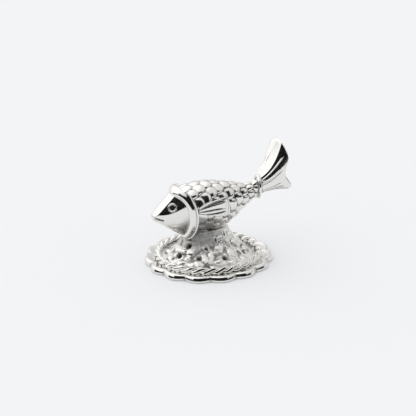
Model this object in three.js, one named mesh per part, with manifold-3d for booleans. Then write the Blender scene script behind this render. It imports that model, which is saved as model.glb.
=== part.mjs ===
// Fish idol on a scalloped round base: a small devotional figure soldered together from cast and
// drawn silver pieces. Millimetres, +Z up. The origin is the middle of the base plate's underside,
// the head points to -X and the fish's left side faces -Y.
import * as THREE from "three";
import { mergeVertices } from "three/addons/utils/BufferGeometryUtils.js";
import Module from "manifold-3d";

const wasm = await Module();
wasm.setup();

// Every soldered seat is this thick
const SOLDER_GAP = 0.1;

// Base plate: a struck disc with a scalloped, rolled rim
const BASE_DIAMETER = 28;
const SCALLOP_COUNT = 15;
const SCALLOP_DEPTH = 0.8;
const SCALLOP_TURN_DEG = 13.5;
const PLATE_THICKNESS = 0.9;
const RIM_HEIGHT = 1.35;
const RIM_WIDTH = 1.2;
const RIM_WALL_HEIGHT = 0.5;
const RIM_SHOULDER_HEIGHT = 1;
const RIM_SHOULDER_INSET = 0.17;
const RIM_CREST_INSET = 0.7;
const RIM_FALL = 0.6;
const FOOT_ROUND = 0.3;

// Rope border: two wires twisted together and closed into a ring
const ROPE_WIRE = 0.72;
const ROPE_TURNS = 15;
const ROPE_TO_RIM = 0.1;

// Pebbled mound that carries the fish
const MOUND_NECK_LENGTH = 8.8;
const MOUND_NECK_WIDTH = 6;
const MOUND_WAIST_LENGTH = 13.8;
const MOUND_WAIST_WIDTH = 8;
const MOUND_WAIST_RISE = 2;
const MOUND_SHOULDER_LENGTH = 16.8;
const MOUND_SHOULDER_WIDTH = 9.6;
const MOUND_SHOULDER_RISE = 0.3;
const MOUND_IN_BELLY = 1.6;
const PEBBLE_COUNT = 48;
const PEBBLE_SMALLEST = 2.4;
const PEBBLE_LARGEST = 3.8;
const PEBBLE_LOWEST = 0.4;
const PEBBLE_HIGHEST = 0.65;
const PEBBLE_LOW_SHARE = 0.5;
const PEBBLE_GROWN_SHARE = 0.25;
const PEBBLED_FROM_SHARE = 0.1;
const PEBBLED_SHARE = 0.62;
const PEBBLE_THINNING = 0.75;

// Peg between the plate and the belly, hidden in the mound
const PEG_DIAMETER = 2.4;
const PEG_IN_BELLY = 2.4;

// Spine of the fish, a curve in the XZ plane from the snout to the tail root
const SNOUT_AHEAD = 12.3;
const SNOUT_HEIGHT = 11.4;
const NAPE_PULL_AHEAD = 4;
const NAPE_PULL_HEIGHT = 12.3;
const LOIN_PULL_BEHIND = 5.5;
const LOIN_PULL_HEIGHT = 11.3;
const TAIL_ROOT_BEHIND = 11.6;
const TAIL_ROOT_HEIGHT = 15.1;

// Girth of the fish: full depths and widths at stations along the spine, from the snout
const SNOUT_DEPTH = 2.7;
const SNOUT_WIDTH = 2.4;
const CHEEK_STATION = 4;
const CHEEK_DEPTH = 9;
const CHEEK_WIDTH = 6.4;
const GIRTH_STATION = 10.6;
const GIRTH_DEPTH = 12.3;
const GIRTH_WIDTH = 8.7;
const FLANK_STATION = 18.2;
const FLANK_DEPTH = 8.3;
const FLANK_WIDTH = 5.4;
const LOIN_STATION = 21.8;
const LOIN_DEPTH = 4.2;
const LOIN_WIDTH = 3.1;
const TAIL_ROOT_DEPTH = 4.1;
const TAIL_ROOT_WIDTH = 2.8;
const HEAD_SQUARENESS = 2.8;
const BODY_SQUARENESS = 2.1;

// Head: flat facets round the spine, each with its rise over level, its turn from the left side
// towards the front, and its distance from the nose
const FOREHEAD_RISE_DEG = 42.2;
const FOREHEAD_TURN_DEG = 70.3;
const FOREHEAD_FROM_NOSE = 0.49;
const CHEEK_RISE_DEG = 20;
const CHEEK_TURN_DEG = 22.9;
const CHEEK_FROM_NOSE = 1.5;
const JAW_RISE_DEG = -3;
const JAW_TURN_DEG = 15.8;
const JAW_FROM_NOSE = 1.44;
const THROAT_RISE_DEG = -17;
const THROAT_TURN_DEG = 13.3;
const THROAT_FROM_NOSE = 1.84;
const CHIN_RISE_DEG = -53.1;
const CHIN_TURN_DEG = 60;
const CHIN_FROM_NOSE = 0.72;
const FACET_SHARPNESS = 18;
const SNOUT_ROUND = 0.9;
const SNOUT_TIP_WIDTH_SHARE = 0.6;
const SNOUT_TIP_DEPTH_SHARE = 0.86;
const SNOUT_DOME = 0.14;
const NECK_SHARE = 0.95;

// Gill collar, which hides the seam between head and body
const COLLAR_TOP_STATION = 5;
const COLLAR_THROAT_STATION = 6;
const COLLAR_SWEEP = 2.55;
const COLLAR_WIDTH = 2;
const COLLAR_SEAT = 0.8;
const COLLAR_SIDE_PROUD = 0.1;
const COLLAR_PROUD = 0.44;
const COLLAR_CREST_SHARE = 0.75;
const COLLAR_GROOVE_DEPTH = 0.6;
const COLLAR_GROOVE_START_DEG = 34;
const COLLAR_GROOVE_END_DEG = 84;
const COLLAR_GROOVE_FRONT_SHARE = 0.4;
const COLLAR_GROOVE_REAR_SHARE = 0.42;
const COLLAR_GROOVE_WALL_SHARE = 0.06;
const COLLAR_RAIL_PROUD = 0.28;
const COLLAR_ROLL_PROUD = 0.46;
const COLLAR_ROLL_POWER = 5;
const SPIGOT_DIAMETER = 3.6;
const SPIGOT_LENGTH = 2.6;

// Scales in staggered rows from the collar to the tail root
const SCALES_AROUND = 13;
const SCALE_ROWS = 9;
const SCALE_RELIEF = 0.34;
const SCALE_ARC = 0.5;
const SCALE_LEDGE = 0.07;
const SCALE_SHOULDER = 0.8;
const SCALE_MIDDLE = 0.45;
const SCALE_SLOPE = 0.25;
const SCALE_TAPER = 1.12;

// Mouth, a saw cut across the snout
const MOUTH_LENGTH = 2.1;
const MOUTH_WIDTH = 0.3;
const MOUTH_RISE = 0.14;
const MOUTH_SLOPE_DEG = 17;

// Eyes: a wire ring and a bead in a drilled seat on each cheek
const EYE_BEHIND_NOSE = 3.81;
const EYE_ABOVE_NOSE = 2.33;
const EYE_RING_DIAMETER = 1.96;
const EYE_RING_WIRE = 0.36;
const EYE_SEAT_DEPTH = 0.3;
const EYE_BEAD_RISE = 0.28;

// Pectoral fins, cast fans soldered on behind the collar
const FIN_LENGTH = 7.1;
const FIN_ROOT_UPPER_DEG = 78;
const FIN_ROOT_LOWER_DEG = 88;
const FIN_UPPER_OPENING_DEG = 14.5;
const FIN_LOWER_OPENING_DEG = 21;
const FIN_UPPER_POWER = 0.6;
const FIN_LOWER_POWER = 1.2;
const FIN_THICKNESS = 0.25;
const FIN_LIFT = 0.5;
const FIN_PETALS = 3;
const FIN_PETAL_RELIEF = 0.3;
const FIN_END_ROUND_SHARE = 0.09;
const FIN_HEM_START_SHARE = 0.72;
const FIN_HEM_FULL_SHARE = 0.86;

// Tail: an oval ring over the joint and a cast two-lobed fin with a tang
const TAIL_RING_WIRE = 0.6;
const TANG_DIAMETER = 1.5;
const TANG_LENGTH = 2.4;
const TANG_IN_FIN = 0.5;
const TAIL_LEAD_REACH = 4.4;
const TAIL_LEAD_RISE = 9.25;
const TAIL_TIP_REACH = 5.3;
const TAIL_TIP_RISE = 9.75;
const TAIL_SHOULDER_REACH = 5.75;
const TAIL_SHOULDER_RISE = 9.3;
const TAIL_BELLY_REACH = 7.02;
const TAIL_BELLY_RISE = 6;
const TAIL_NOTCH_REACH = 6.25;
const TAIL_NOTCH_RISE = 2.23;
const TAIL_HEEL_REACH = 7.67;
const TAIL_HEEL_DROP = 0.56;
const TAIL_LOWER_REACH = 6.79;
const TAIL_LOWER_DROP = 1.32;
const TAIL_LOWER_BOW = 0.6;
const TAIL_FAN_SAG = 1.5;
const TAIL_FAN_SHARE = 0.4;
const TAIL_LEAD_SAG = 0.25;
const TAIL_LEAN = 1.2;
const TAIL_LEAN_SHARE = 0.54;
const TAIL_LOWER_OUT = 0.6;
const TAIL_FOLD_DEPTH = 2.3;
const TAIL_FOLD_POWER = 1.5;
const TAIL_FOLD_SHARE = 0.87;
const TAIL_FOLD_BOW_SHARE = 0.07;
const TAIL_FOLD_START_SHARE = 0.3;
const TAIL_SHEET_THICKNESS = 0.64;
const TAIL_HEM_SHARE = 0.05;
const TAIL_EDGE_THICKNESS = 0.24;
const TAIL_PLUG_SHARE = 0.16;
const TAIL_UPPER_RAY_SHARE = 0.75;
const TAIL_LOWER_RAY_SHARE = 0.54;
const TAIL_RAY_HALF_SHARE = 0.04;
const TAIL_RAY_RELIEF = 0.14;

// Facets
const SCALE_COLUMNS = 4;
const RING_COLUMNS = SCALES_AROUND * SCALE_COLUMNS;
const SCALLOP_STEPS = 5;
const ROPE_STEPS_PER_TURN = 7;
const ROPE_SECTION_STEPS = 8;
const MOUND_COLUMNS = 60;
const MOUND_ROWS = 14;
const HEAD_ROWS = 10;
const HEAD_ROW_POWER = 1.3;
const FIN_ROWS = 8;
const FIN_COLUMNS = 12;
const TAIL_ROWS = 9;
const TAIL_COLUMNS = 24;
const ROUND_STEPS = 20;
const RIM_STEPS = 3;
const ENVELOPE_ROWS = 26;
const WIRE_STEPS = 6;
const TAIL_RING_STEPS = 26;
const BEAD_STEPS = 3;
const NORMAL_STEP = 0.05;
const PLACE_STEP = 0.005;

// Ratios that strew points evenly without a pattern
const PLASTIC = 0.7548776662;
const PLASTIC_SQUARE = 0.569840291;
const GOLDEN_SQUARE = 0.3819660113;

const baseRadius = BASE_DIAMETER / 2;
const plateTop = PLATE_THICKNESS;

// Mesh helpers

/** Signed volume of an indexed triangle mesh. */
function volumeOf(points, faces) {
  const cross = new THREE.Vector3();
  return faces.reduce((sum, [a, b, c]) => {
    cross.crossVectors(points[b], points[c]);
    return sum + points[a].dot(cross) / 6;
  }, 0);
}

/** A closed geometry from points and triangles, with its faces turned outwards. */
function closedGeometry(points, faces) {
  const inward = volumeOf(points, faces) < 0;
  const index = faces.flatMap(([a, b, c]) => (inward ? [a, c, b] : [a, b, c]));
  const geometry = new THREE.BufferGeometry();
  geometry.setAttribute(
    "position",
    new THREE.Float32BufferAttribute(points.flatMap((p) => p.toArray()), 3),
  );
  geometry.setIndex(index);
  geometry.computeVertexNormals();
  return geometry;
}

/** Triangles between rings of equal length; the last ring joins the first where wrap is true. */
function bandFaces(ringCount, ringLength, wrap) {
  const faces = [];
  const bands = wrap ? ringCount : ringCount - 1;
  for (let i = 0; i < bands; i++) {
    const here = i * ringLength;
    const next = ((i + 1) % ringCount) * ringLength;
    for (let j = 0; j < ringLength; j++) {
      const k = (j + 1) % ringLength;
      faces.push([here + j, here + k, next + k], [here + j, next + k, next + j]);
    }
  }
  return faces;
}

/** A solid lofted through closed rings, with a fan from each end ring to its own middle point. */
function loft(rings, firstMiddle, lastMiddle) {
  const length = rings[0].length;
  const points = rings.flat();
  const faces = bandFaces(rings.length, length, false);
  const first = points.push(firstMiddle) - 1;
  const last = points.push(lastMiddle) - 1;
  const lastRing = (rings.length - 1) * length;
  for (let j = 0; j < length; j++) {
    const k = (j + 1) % length;
    faces.push([first, k, j], [last, lastRing + j, lastRing + k]);
  }
  return closedGeometry(points, faces);
}

/** A solid ring lofted through closed sections that come back to the first one. */
function ringLoft(sections) {
  return closedGeometry(sections.flat(), bandFaces(sections.length, sections[0].length, true));
}

/** A sheet with thickness: two grids of points, rows by columns, joined along all four borders. */
function sheetSolid(outer, inner) {
  const rows = outer.length;
  const columns = outer[0].length;
  const points = [...outer.flat(), ...inner.flat()];
  const back = rows * columns;
  const faces = [];
  const quad = (a, b, c, d) => faces.push([a, b, c], [a, c, d]);
  for (let i = 0; i < rows - 1; i++) {
    const here = i * columns;
    const next = here + columns;
    for (let j = 0; j < columns - 1; j++) {
      quad(here + j, here + j + 1, next + j + 1, next + j);
      quad(back + next + j, back + next + j + 1, back + here + j + 1, back + here + j);
    }
    quad(next, back + next, back + here, here);
    quad(here + columns - 1, back + here + columns - 1, back + next + columns - 1, next + columns - 1);
  }
  const lastRow = (rows - 1) * columns;
  for (let j = 0; j < columns - 1; j++) {
    quad(j, back + j, back + j + 1, j + 1);
    quad(lastRow + j + 1, back + lastRow + j + 1, back + lastRow + j, lastRow + j);
  }
  return closedGeometry(points, faces);
}

/** The mean of a ring's points. */
function middleOf(ring) {
  return ring.reduce((sum, p) => sum.add(p), new THREE.Vector3()).divideScalar(ring.length);
}

/** A geometry as a manifold solid. */
function toSolid(geometry) {
  const position = geometry.getAttribute("position");
  return new wasm.Manifold(
    new wasm.Mesh({
      numProp: 3,
      vertProperties: new Float32Array(position.array),
      triVerts: new Uint32Array(geometry.index.array),
    }),
  );
}

/** A manifold solid as a geometry. */
function toGeometry(solid) {
  const mesh = solid.getMesh();
  const geometry = new THREE.BufferGeometry();
  geometry.setAttribute("position", new THREE.BufferAttribute(mesh.vertProperties, 3));
  geometry.setIndex(new THREE.BufferAttribute(mesh.triVerts, 1));
  geometry.computeVertexNormals();
  return geometry;
}

/** A three.js shape as a manifold solid, with its seams welded. */
function weldedSolid(shape) {
  shape.deleteAttribute("normal");
  shape.deleteAttribute("uv");
  return toSolid(mergeVertices(shape));
}

/** A round bar from one point along a unit direction, as a manifold solid. */
function roundBar(from, direction, diameter, length) {
  const bar = new THREE.CylinderGeometry(diameter / 2, diameter / 2, length, ROUND_STEPS);
  bar.translate(0, length / 2, 0);
  const axis = new THREE.Vector3(0, 1, 0);
  bar.applyQuaternion(new THREE.Quaternion().setFromUnitVectors(axis, direction));
  bar.translate(from.x, from.y, from.z);
  return weldedSolid(bar);
}

/** A smooth curve through [station, value] pairs, by Hermite pieces with averaged slopes. */
function smoothProfile(pairs) {
  const slopes = pairs.map((_, i) => {
    const [x0, y0] = pairs[Math.max(i - 1, 0)];
    const [x1, y1] = pairs[Math.min(i + 1, pairs.length - 1)];
    return (y1 - y0) / (x1 - x0);
  });
  return (x) => {
    const last = pairs.length - 2;
    const i = Math.min(last, Math.max(0, pairs.findIndex(([station]) => x < station) - 1));
    const k = x >= pairs[last][0] ? last : i;
    const [x0, y0] = pairs[k];
    const [x1, y1] = pairs[k + 1];
    const width = x1 - x0;
    const t = (x - x0) / width;
    const rise = y1 - y0;
    const start = slopes[k] * width;
    const end = slopes[k + 1] * width;
    return y0 + start * t + (3 * rise - 2 * start - end) * t * t + (start + end - 2 * rise) * t * t * t;
  };
}

// The fish's own surface, on which every piece of it is laid out

const spine = new THREE.CubicBezierCurve3(
  new THREE.Vector3(-SNOUT_AHEAD, 0, SNOUT_HEIGHT),
  new THREE.Vector3(-NAPE_PULL_AHEAD, 0, NAPE_PULL_HEIGHT),
  new THREE.Vector3(LOIN_PULL_BEHIND, 0, LOIN_PULL_HEIGHT),
  new THREE.Vector3(TAIL_ROOT_BEHIND, 0, TAIL_ROOT_HEIGHT),
);
const spineLength = spine.getLength();
const nose = spine.getPointAt(0);
const lateral = new THREE.Vector3(0, -1, 0);
const dorsal = new THREE.Vector3(0, 0, 1);
const tailward = new THREE.Vector3(1, 0, 0);

const halfDepth = smoothProfile([
  [0, SNOUT_DEPTH / 2],
  [CHEEK_STATION, CHEEK_DEPTH / 2],
  [GIRTH_STATION, GIRTH_DEPTH / 2],
  [FLANK_STATION, FLANK_DEPTH / 2],
  [LOIN_STATION, LOIN_DEPTH / 2],
  [spineLength, TAIL_ROOT_DEPTH / 2],
]);
const halfWidth = smoothProfile([
  [0, SNOUT_WIDTH / 2],
  [CHEEK_STATION, CHEEK_WIDTH / 2],
  [GIRTH_STATION, GIRTH_WIDTH / 2],
  [FLANK_STATION, FLANK_WIDTH / 2],
  [LOIN_STATION, LOIN_WIDTH / 2],
  [spineLength, TAIL_ROOT_WIDTH / 2],
]);

/** The spine's point and its tail-ward direction at a station. */
function spineFrame(station) {
  const share = THREE.MathUtils.clamp(station / spineLength, 0, 1);
  return { point: spine.getPointAt(share), along: spine.getTangentAt(share) };
}

/** The skin at a station and an angle from the back, where 90 degrees is the left side, moved out. */
function skin(station, angle, out = 0) {
  const { point } = spineFrame(station);
  const toBody = THREE.MathUtils.smoothstep(station, CHEEK_STATION, GIRTH_STATION);
  const power = 2 / THREE.MathUtils.lerp(HEAD_SQUARENESS, BODY_SQUARENESS, toBody);
  const bulge = (x) => Math.sign(x) * Math.abs(x) ** power;
  return point
    .addScaledVector(dorsal, (halfDepth(station) + out) * bulge(Math.cos(angle)))
    .addScaledVector(lateral, (halfWidth(station) + out) * bulge(Math.sin(angle)));
}

/** The outward direction of the skin. */
function skinNormal(station, angle) {
  const along = skin(station + NORMAL_STEP, angle).sub(skin(station - NORMAL_STEP, angle));
  const around = skin(station, angle + NORMAL_STEP).sub(skin(station, angle - NORMAL_STEP));
  const normal = new THREE.Vector3().crossVectors(around, along).normalize();
  const outward = skin(station, angle).sub(spineFrame(station).point);
  return normal.dot(outward) < 0 ? normal.negate() : normal;
}

/** A closed ring of points, one for each angle. */
function ringOf(pointAt) {
  return Array.from({ length: RING_COLUMNS }, (_, j) => pointAt((2 * Math.PI * j) / RING_COLUMNS));
}

/** A closed ring of the skin, whose station may change with the angle. */
function skinRing(stationAt, outAt) {
  return ringOf((angle) => skin(stationAt(angle), angle, outAt(angle)));
}

/** The collar's station: ahead on the back, swept towards the tail on the cheeks. */
function collarStation(angle) {
  const throat = (1 - Math.cos(angle)) / 2;
  return (
    THREE.MathUtils.lerp(COLLAR_TOP_STATION, COLLAR_THROAT_STATION, throat) +
    COLLAR_SWEEP * Math.sin(angle) ** 2
  );
}
const seamStation = (COLLAR_TOP_STATION + COLLAR_THROAT_STATION + COLLAR_SWEEP) / 2;
const collarHalf = COLLAR_WIDTH / 2;

// Scalloped base plate

/** Radius of the plate's outline: lobes that meet in pointed notches. */
function scallopRadius(turn) {
  const notch = THREE.MathUtils.degToRad(SCALLOP_TURN_DEG);
  const lobe = Math.abs(Math.sin((SCALLOP_COUNT * (turn - notch)) / 2));
  return baseRadius - SCALLOP_DEPTH * (1 - lobe);
}

function basePlate() {
  const columns = SCALLOP_COUNT * SCALLOP_STEPS;
  const notch = THREE.MathUtils.degToRad(SCALLOP_TURN_DEG);
  const ringAt = (inset, height) =>
    Array.from({ length: columns }, (_, j) => {
      const turn = notch + (2 * Math.PI * j) / columns;
      const radius = scallopRadius(turn) - inset;
      return new THREE.Vector3(radius * Math.cos(turn), radius * Math.sin(turn), height);
    });
  const shoulderRise = RIM_HEIGHT - RIM_SHOULDER_HEIGHT;
  const crown = Array.from({ length: RIM_STEPS + 1 }, (_, i) => {
    const a = (Math.PI / 2) * (i / RIM_STEPS);
    const reach = RIM_CREST_INSET - RIM_SHOULDER_INSET;
    return ringAt(RIM_CREST_INSET - reach * Math.cos(a), RIM_SHOULDER_HEIGHT + shoulderRise * Math.sin(a));
  });
  const rings = [
    ringAt(FOOT_ROUND, 0),
    ringAt(0, FOOT_ROUND),
    ringAt(0, RIM_WALL_HEIGHT),
    ...crown,
    ringAt(RIM_WIDTH, RIM_SHOULDER_HEIGHT + shoulderRise / 2),
    ringAt(RIM_WIDTH + RIM_FALL, plateTop),
  ];
  return loft(rings, new THREE.Vector3(), new THREE.Vector3(0, 0, plateTop));
}

// Rope border

const ropeRadius = baseRadius - SCALLOP_DEPTH - RIM_WIDTH - ROPE_TO_RIM - ROPE_WIRE;
const ropeHeight = plateTop + SOLDER_GAP + ROPE_WIRE;

function ropeRing() {
  const steps = ROPE_TURNS * ROPE_STEPS_PER_TURN;
  const sections = Array.from({ length: steps }, (_, i) => {
    const turn = (2 * Math.PI * i) / steps;
    return Array.from({ length: ROPE_SECTION_STEPS }, (_, j) => {
      const around = (2 * Math.PI * j) / ROPE_SECTION_STEPS;
      const strand = Math.abs(Math.cos(around - ROPE_TURNS * turn));
      const reach = (ROPE_WIRE / 2) * (1 + strand);
      const radius = ropeRadius + reach * Math.cos(around);
      const height = ropeHeight + reach * Math.sin(around);
      return new THREE.Vector3(radius * Math.cos(turn), radius * Math.sin(turn), height);
    });
  });
  return ringLoft(sections);
}

// Fish pieces

/** The fish without relief, grown by a distance, for cutting its seat in the mound. */
function fishEnvelope(grow) {
  const from = CHEEK_STATION / 2;
  const rings = Array.from({ length: ENVELOPE_ROWS }, (_, i) => {
    const station = THREE.MathUtils.lerp(from, spineLength, i / (ENVELOPE_ROWS - 1));
    return skinRing(() => station, () => grow);
  });
  return toSolid(loft(rings, middleOf(rings[0]), middleOf(rings[ENVELOPE_ROWS - 1])));
}

/** The collar's band as a solid, grown by a distance on every side. */
function collarBand(grow) {
  const { radToDeg, smoothstep } = THREE.MathUtils;
  const half = collarHalf + grow;
  const sections = Array.from({ length: RING_COLUMNS }, (_, j) => {
    const angle = (2 * Math.PI * j) / RING_COLUMNS;
    const turned = radToDeg(Math.acos(Math.cos(angle)));
    const roll = COLLAR_ROLL_PROUD * Math.max(0, Math.cos(angle)) ** COLLAR_ROLL_POWER;
    const started = turned > COLLAR_GROOVE_START_DEG ? 1 : 0;
    const wedge = started * (1 - smoothstep(turned, COLLAR_GROOVE_START_DEG, COLLAR_GROOVE_END_DEG));
    const front = COLLAR_GROOVE_FRONT_SHARE * wedge;
    const crest = COLLAR_PROUD + roll + grow;
    const bed = crest - COLLAR_GROOVE_DEPTH * wedge;
    const profile = [
      [-1, -COLLAR_SEAT - grow],
      [-1, COLLAR_SIDE_PROUD + grow],
      [-COLLAR_CREST_SHARE, crest - roll / 2],
      [-front, crest],
      [-front + 2 * COLLAR_GROOVE_WALL_SHARE, bed],
      [COLLAR_GROOVE_REAR_SHARE - COLLAR_GROOVE_WALL_SHARE, bed],
      [COLLAR_GROOVE_REAR_SHARE + COLLAR_GROOVE_WALL_SHARE, crest],
      [COLLAR_CREST_SHARE, crest - roll / 2 + COLLAR_RAIL_PROUD],
      [1, COLLAR_SIDE_PROUD + grow],
      [1, -COLLAR_SEAT - grow],
    ];
    return profile.map(([along, out]) => skin(collarStation(angle) + half * along, angle, out));
  });
  return ringLoft(sections);
}

const seat = () => -COLLAR_SEAT - SOLDER_GAP;

/** The bar along the spine that plugs the head into the body. */
function spigot(grow) {
  const { point, along } = spineFrame(seamStation);
  const from = point.addScaledVector(along, -SPIGOT_LENGTH);
  return roundBar(from, along, SPIGOT_DIAMETER + 2 * grow, 2 * SPIGOT_LENGTH + grow);
}

/** Saw cut of the mouth: a thin plate that slopes down from the snout across the whole width. */
function mouthCut() {
  const cut = new THREE.BoxGeometry(2 * MOUTH_LENGTH, 2 * CHEEK_WIDTH, MOUTH_WIDTH);
  cut.rotateY(THREE.MathUtils.degToRad(MOUTH_SLOPE_DEG));
  cut.translate(nose.x, 0, nose.z + MOUTH_RISE);
  return weldedSolid(cut);
}

/** One facet of the head's left half: its outward direction and its distance from the nose. */
function facet(rise, turn, distance) {
  const up = THREE.MathUtils.degToRad(rise);
  const ahead = THREE.MathUtils.degToRad(turn);
  const out = new THREE.Vector3(
    -Math.cos(up) * Math.sin(ahead),
    -Math.cos(up) * Math.cos(ahead),
    Math.sin(up),
  );
  return { out, distance };
}
const cheek = facet(CHEEK_RISE_DEG, CHEEK_TURN_DEG, CHEEK_FROM_NOSE);
const headFacets = [
  facet(FOREHEAD_RISE_DEG, FOREHEAD_TURN_DEG, FOREHEAD_FROM_NOSE),
  cheek,
  facet(JAW_RISE_DEG, JAW_TURN_DEG, JAW_FROM_NOSE),
  facet(THROAT_RISE_DEG, THROAT_TURN_DEG, THROAT_FROM_NOSE),
  facet(CHIN_RISE_DEG, CHIN_TURN_DEG, CHIN_FROM_NOSE),
];

/** The faceted head in the same directions as the skin, with a blunt snout. */
function headSkin(station, angle) {
  const { lerp } = THREE.MathUtils;
  const { point } = spineFrame(station);
  const spoke = skin(station, angle).sub(point).normalize();
  const left = spoke.clone();
  left.y = -Math.abs(left.y);
  const fromNose = point.clone().sub(nose);
  const total = headFacets.reduce((sum, { out, distance }) => {
    const away = distance - fromNose.dot(out);
    return sum + (Math.max(0, left.dot(out)) / away) ** FACET_SHARPNESS;
  }, 0);
  const back = 1 - Math.min(1, station / SNOUT_ROUND);
  const full = Math.sqrt(1 - back * back);
  spoke.y *= lerp(SNOUT_TIP_WIDTH_SHARE, 1, full);
  spoke.z *= lerp(SNOUT_TIP_DEPTH_SHARE, 1, full);
  return point.addScaledVector(spoke, total ** (-1 / FACET_SHARPNESS));
}

/** Where an eye sits: its place on the cheek's facet and its outward direction. */
function eyeFrame(side) {
  const { out, distance } = cheek;
  const point = new THREE.Vector3(EYE_BEHIND_NOSE, 0, EYE_ABOVE_NOSE);
  point.y = (distance - point.dot(out)) / out.y;
  point.add(nose);
  const mirror = new THREE.Vector3(1, side, 1);
  return { point: point.multiply(mirror), out: out.clone().multiply(mirror) };
}

function eyeSeat(side) {
  const { point, out } = eyeFrame(side);
  const floor = point.addScaledVector(out, -EYE_SEAT_DEPTH);
  return roundBar(floor, out, EYE_RING_DIAMETER + 2 * SOLDER_GAP, 4 * EYE_SEAT_DEPTH);
}

/** A ring of the neck: under the collar's seat, and narrower than the head where that is less. */
function neckRing(stationAt, middleAt) {
  return ringOf((angle) => {
    const station = stationAt(angle);
    const { point } = spineFrame(station);
    const onSeat = skin(station, angle, seat());
    const onHead = headSkin(station, angle);
    const share = (NECK_SHARE * onHead.distanceTo(point)) / onSeat.distanceTo(point);
    return middleAt(station).lerp(onSeat, Math.min(1, share));
  });
}

function fishHead() {
  const rearOf = (angle) => collarStation(angle) - collarHalf - SOLDER_GAP;
  const rings = Array.from({ length: HEAD_ROWS }, (_, i) => {
    const share = (i / (HEAD_ROWS - 1)) ** HEAD_ROW_POWER;
    return ringOf((angle) => headSkin(share * rearOf(angle), angle));
  });
  const seam = spineFrame(seamStation - SOLDER_GAP / 2).point;
  rings.push(neckRing(rearOf, (station) => spineFrame(station).point));
  rings.push(neckRing((angle) => collarStation(angle) - SOLDER_GAP / 2, () => seam.clone()));
  const tip = middleOf(rings[0]).addScaledVector(tailward, -SNOUT_DOME);
  const head = toSolid(loft(rings, tip, seam))
    .add(spigot(0))
    .subtract(mouthCut())
    .subtract(eyeSeat(1))
    .subtract(eyeSeat(-1));
  return toGeometry(head);
}

/** Height of a scale's rounded free edge: 1 in its middle, 0 where it meets its neighbours. */
function scaleArch(angle, row) {
  const place = (angle / (2 * Math.PI)) * SCALES_AROUND + (row % 2) / 2;
  const across = 2 * (place - Math.floor(place)) - 1;
  return Math.sqrt(Math.max(0, 1 - across * across));
}

function fishBody() {
  const frontOf = (angle) => collarStation(angle) + collarHalf + SOLDER_GAP;
  const stationAt = (rowPlace) => (angle) => {
    const share = 1 - (1 - Math.min(1, rowPlace(angle) / SCALE_ROWS)) ** SCALE_TAPER;
    return THREE.MathUtils.lerp(frontOf(angle), spineLength, share);
  };
  const rings = [
    skinRing((angle) => collarStation(angle) + SOLDER_GAP / 2, seat),
    skinRing(frontOf, seat),
    skinRing(frontOf, () => -SCALE_RELIEF),
  ];
  for (let row = 0; row < SCALE_ROWS; row++) {
    const edgeAt = (angle) => row + 1 - SCALE_ARC * (1 - scaleArch(angle, row));
    const domeAt = (angle) => -SCALE_RELIEF * (1 - scaleArch(angle, row)) * SCALE_SHOULDER;
    const middleAt = (angle) => edgeAt(angle) - SCALE_MIDDLE;
    rings.push(skinRing(stationAt(middleAt), (angle) => domeAt(angle) - SCALE_RELIEF * SCALE_SLOPE));
    rings.push(skinRing(stationAt(edgeAt), domeAt));
    rings.push(skinRing(stationAt((angle) => edgeAt(angle) + SCALE_LEDGE), () => -SCALE_RELIEF));
  }
  rings.push(skinRing(() => spineLength, () => -SCALE_RELIEF));
  const seam = spineFrame(seamStation + SOLDER_GAP / 2).point;
  const body = toSolid(loft(rings, seam, spineFrame(spineLength).point))
    .subtract(spigot(SOLDER_GAP))
    .subtract(tang(SOLDER_GAP))
    .subtract(peg(SOLDER_GAP));
  return toGeometry(body);
}

/** A fan-shaped fin that follows the flank, with petals along it and a plain hem. */
function pectoralFin(side) {
  const { degToRad, lerp, smoothstep } = THREE.MathUtils;
  const start = collarStation(degToRad(FIN_ROOT_LOWER_DEG)) + collarHalf + SOLDER_GAP;
  const point = (along, across, out) => {
    const opened = Math.sin((along * Math.PI) / 2) ** FIN_UPPER_POWER;
    const upper = FIN_ROOT_UPPER_DEG - FIN_UPPER_OPENING_DEG * opened;
    const lower = FIN_ROOT_LOWER_DEG + FIN_LOWER_OPENING_DEG * along ** FIN_LOWER_POWER;
    const rounding = 1 - FIN_END_ROUND_SHARE * along * (2 * across - 1) ** 2;
    const station = start + FIN_LENGTH * along * rounding;
    const angle = side * degToRad(lerp(upper, lower, across));
    return skin(station, angle).addScaledVector(skinNormal(station, angle), out);
  };
  const outAt = (along, across) => {
    const hem = smoothstep(along, FIN_HEM_START_SHARE, FIN_HEM_FULL_SHARE);
    const petal = Math.abs(Math.sin(Math.PI * FIN_PETALS * across));
    const border = across === 0 || across === 1 ? 1 : 0;
    const lift = FIN_LIFT * along * (1 - across);
    return FIN_THICKNESS + lift + FIN_PETAL_RELIEF * Math.max(petal, border, hem);
  };
  const grid = (heightAt) =>
    Array.from({ length: FIN_ROWS }, (_, i) =>
      Array.from({ length: FIN_COLUMNS + 1 }, (_, j) => {
        const along = i / (FIN_ROWS - 1);
        const across = j / FIN_COLUMNS;
        return point(along, across, heightAt(along, across));
      }),
    );
  return sheetSolid(grid(outAt), grid(() => SOLDER_GAP));
}

// Tail pieces

/** The bar that plugs the tail fin into the body. */
function tang(grow) {
  const end = spineFrame(spineLength).point;
  const along = end.clone().sub(spineFrame(spineLength - TANG_LENGTH).point).normalize();
  const from = end.addScaledVector(along, -TANG_LENGTH - grow);
  return roundBar(from, along, TANG_DIAMETER + 2 * grow, TANG_LENGTH + grow + TANG_IN_FIN);
}

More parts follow.
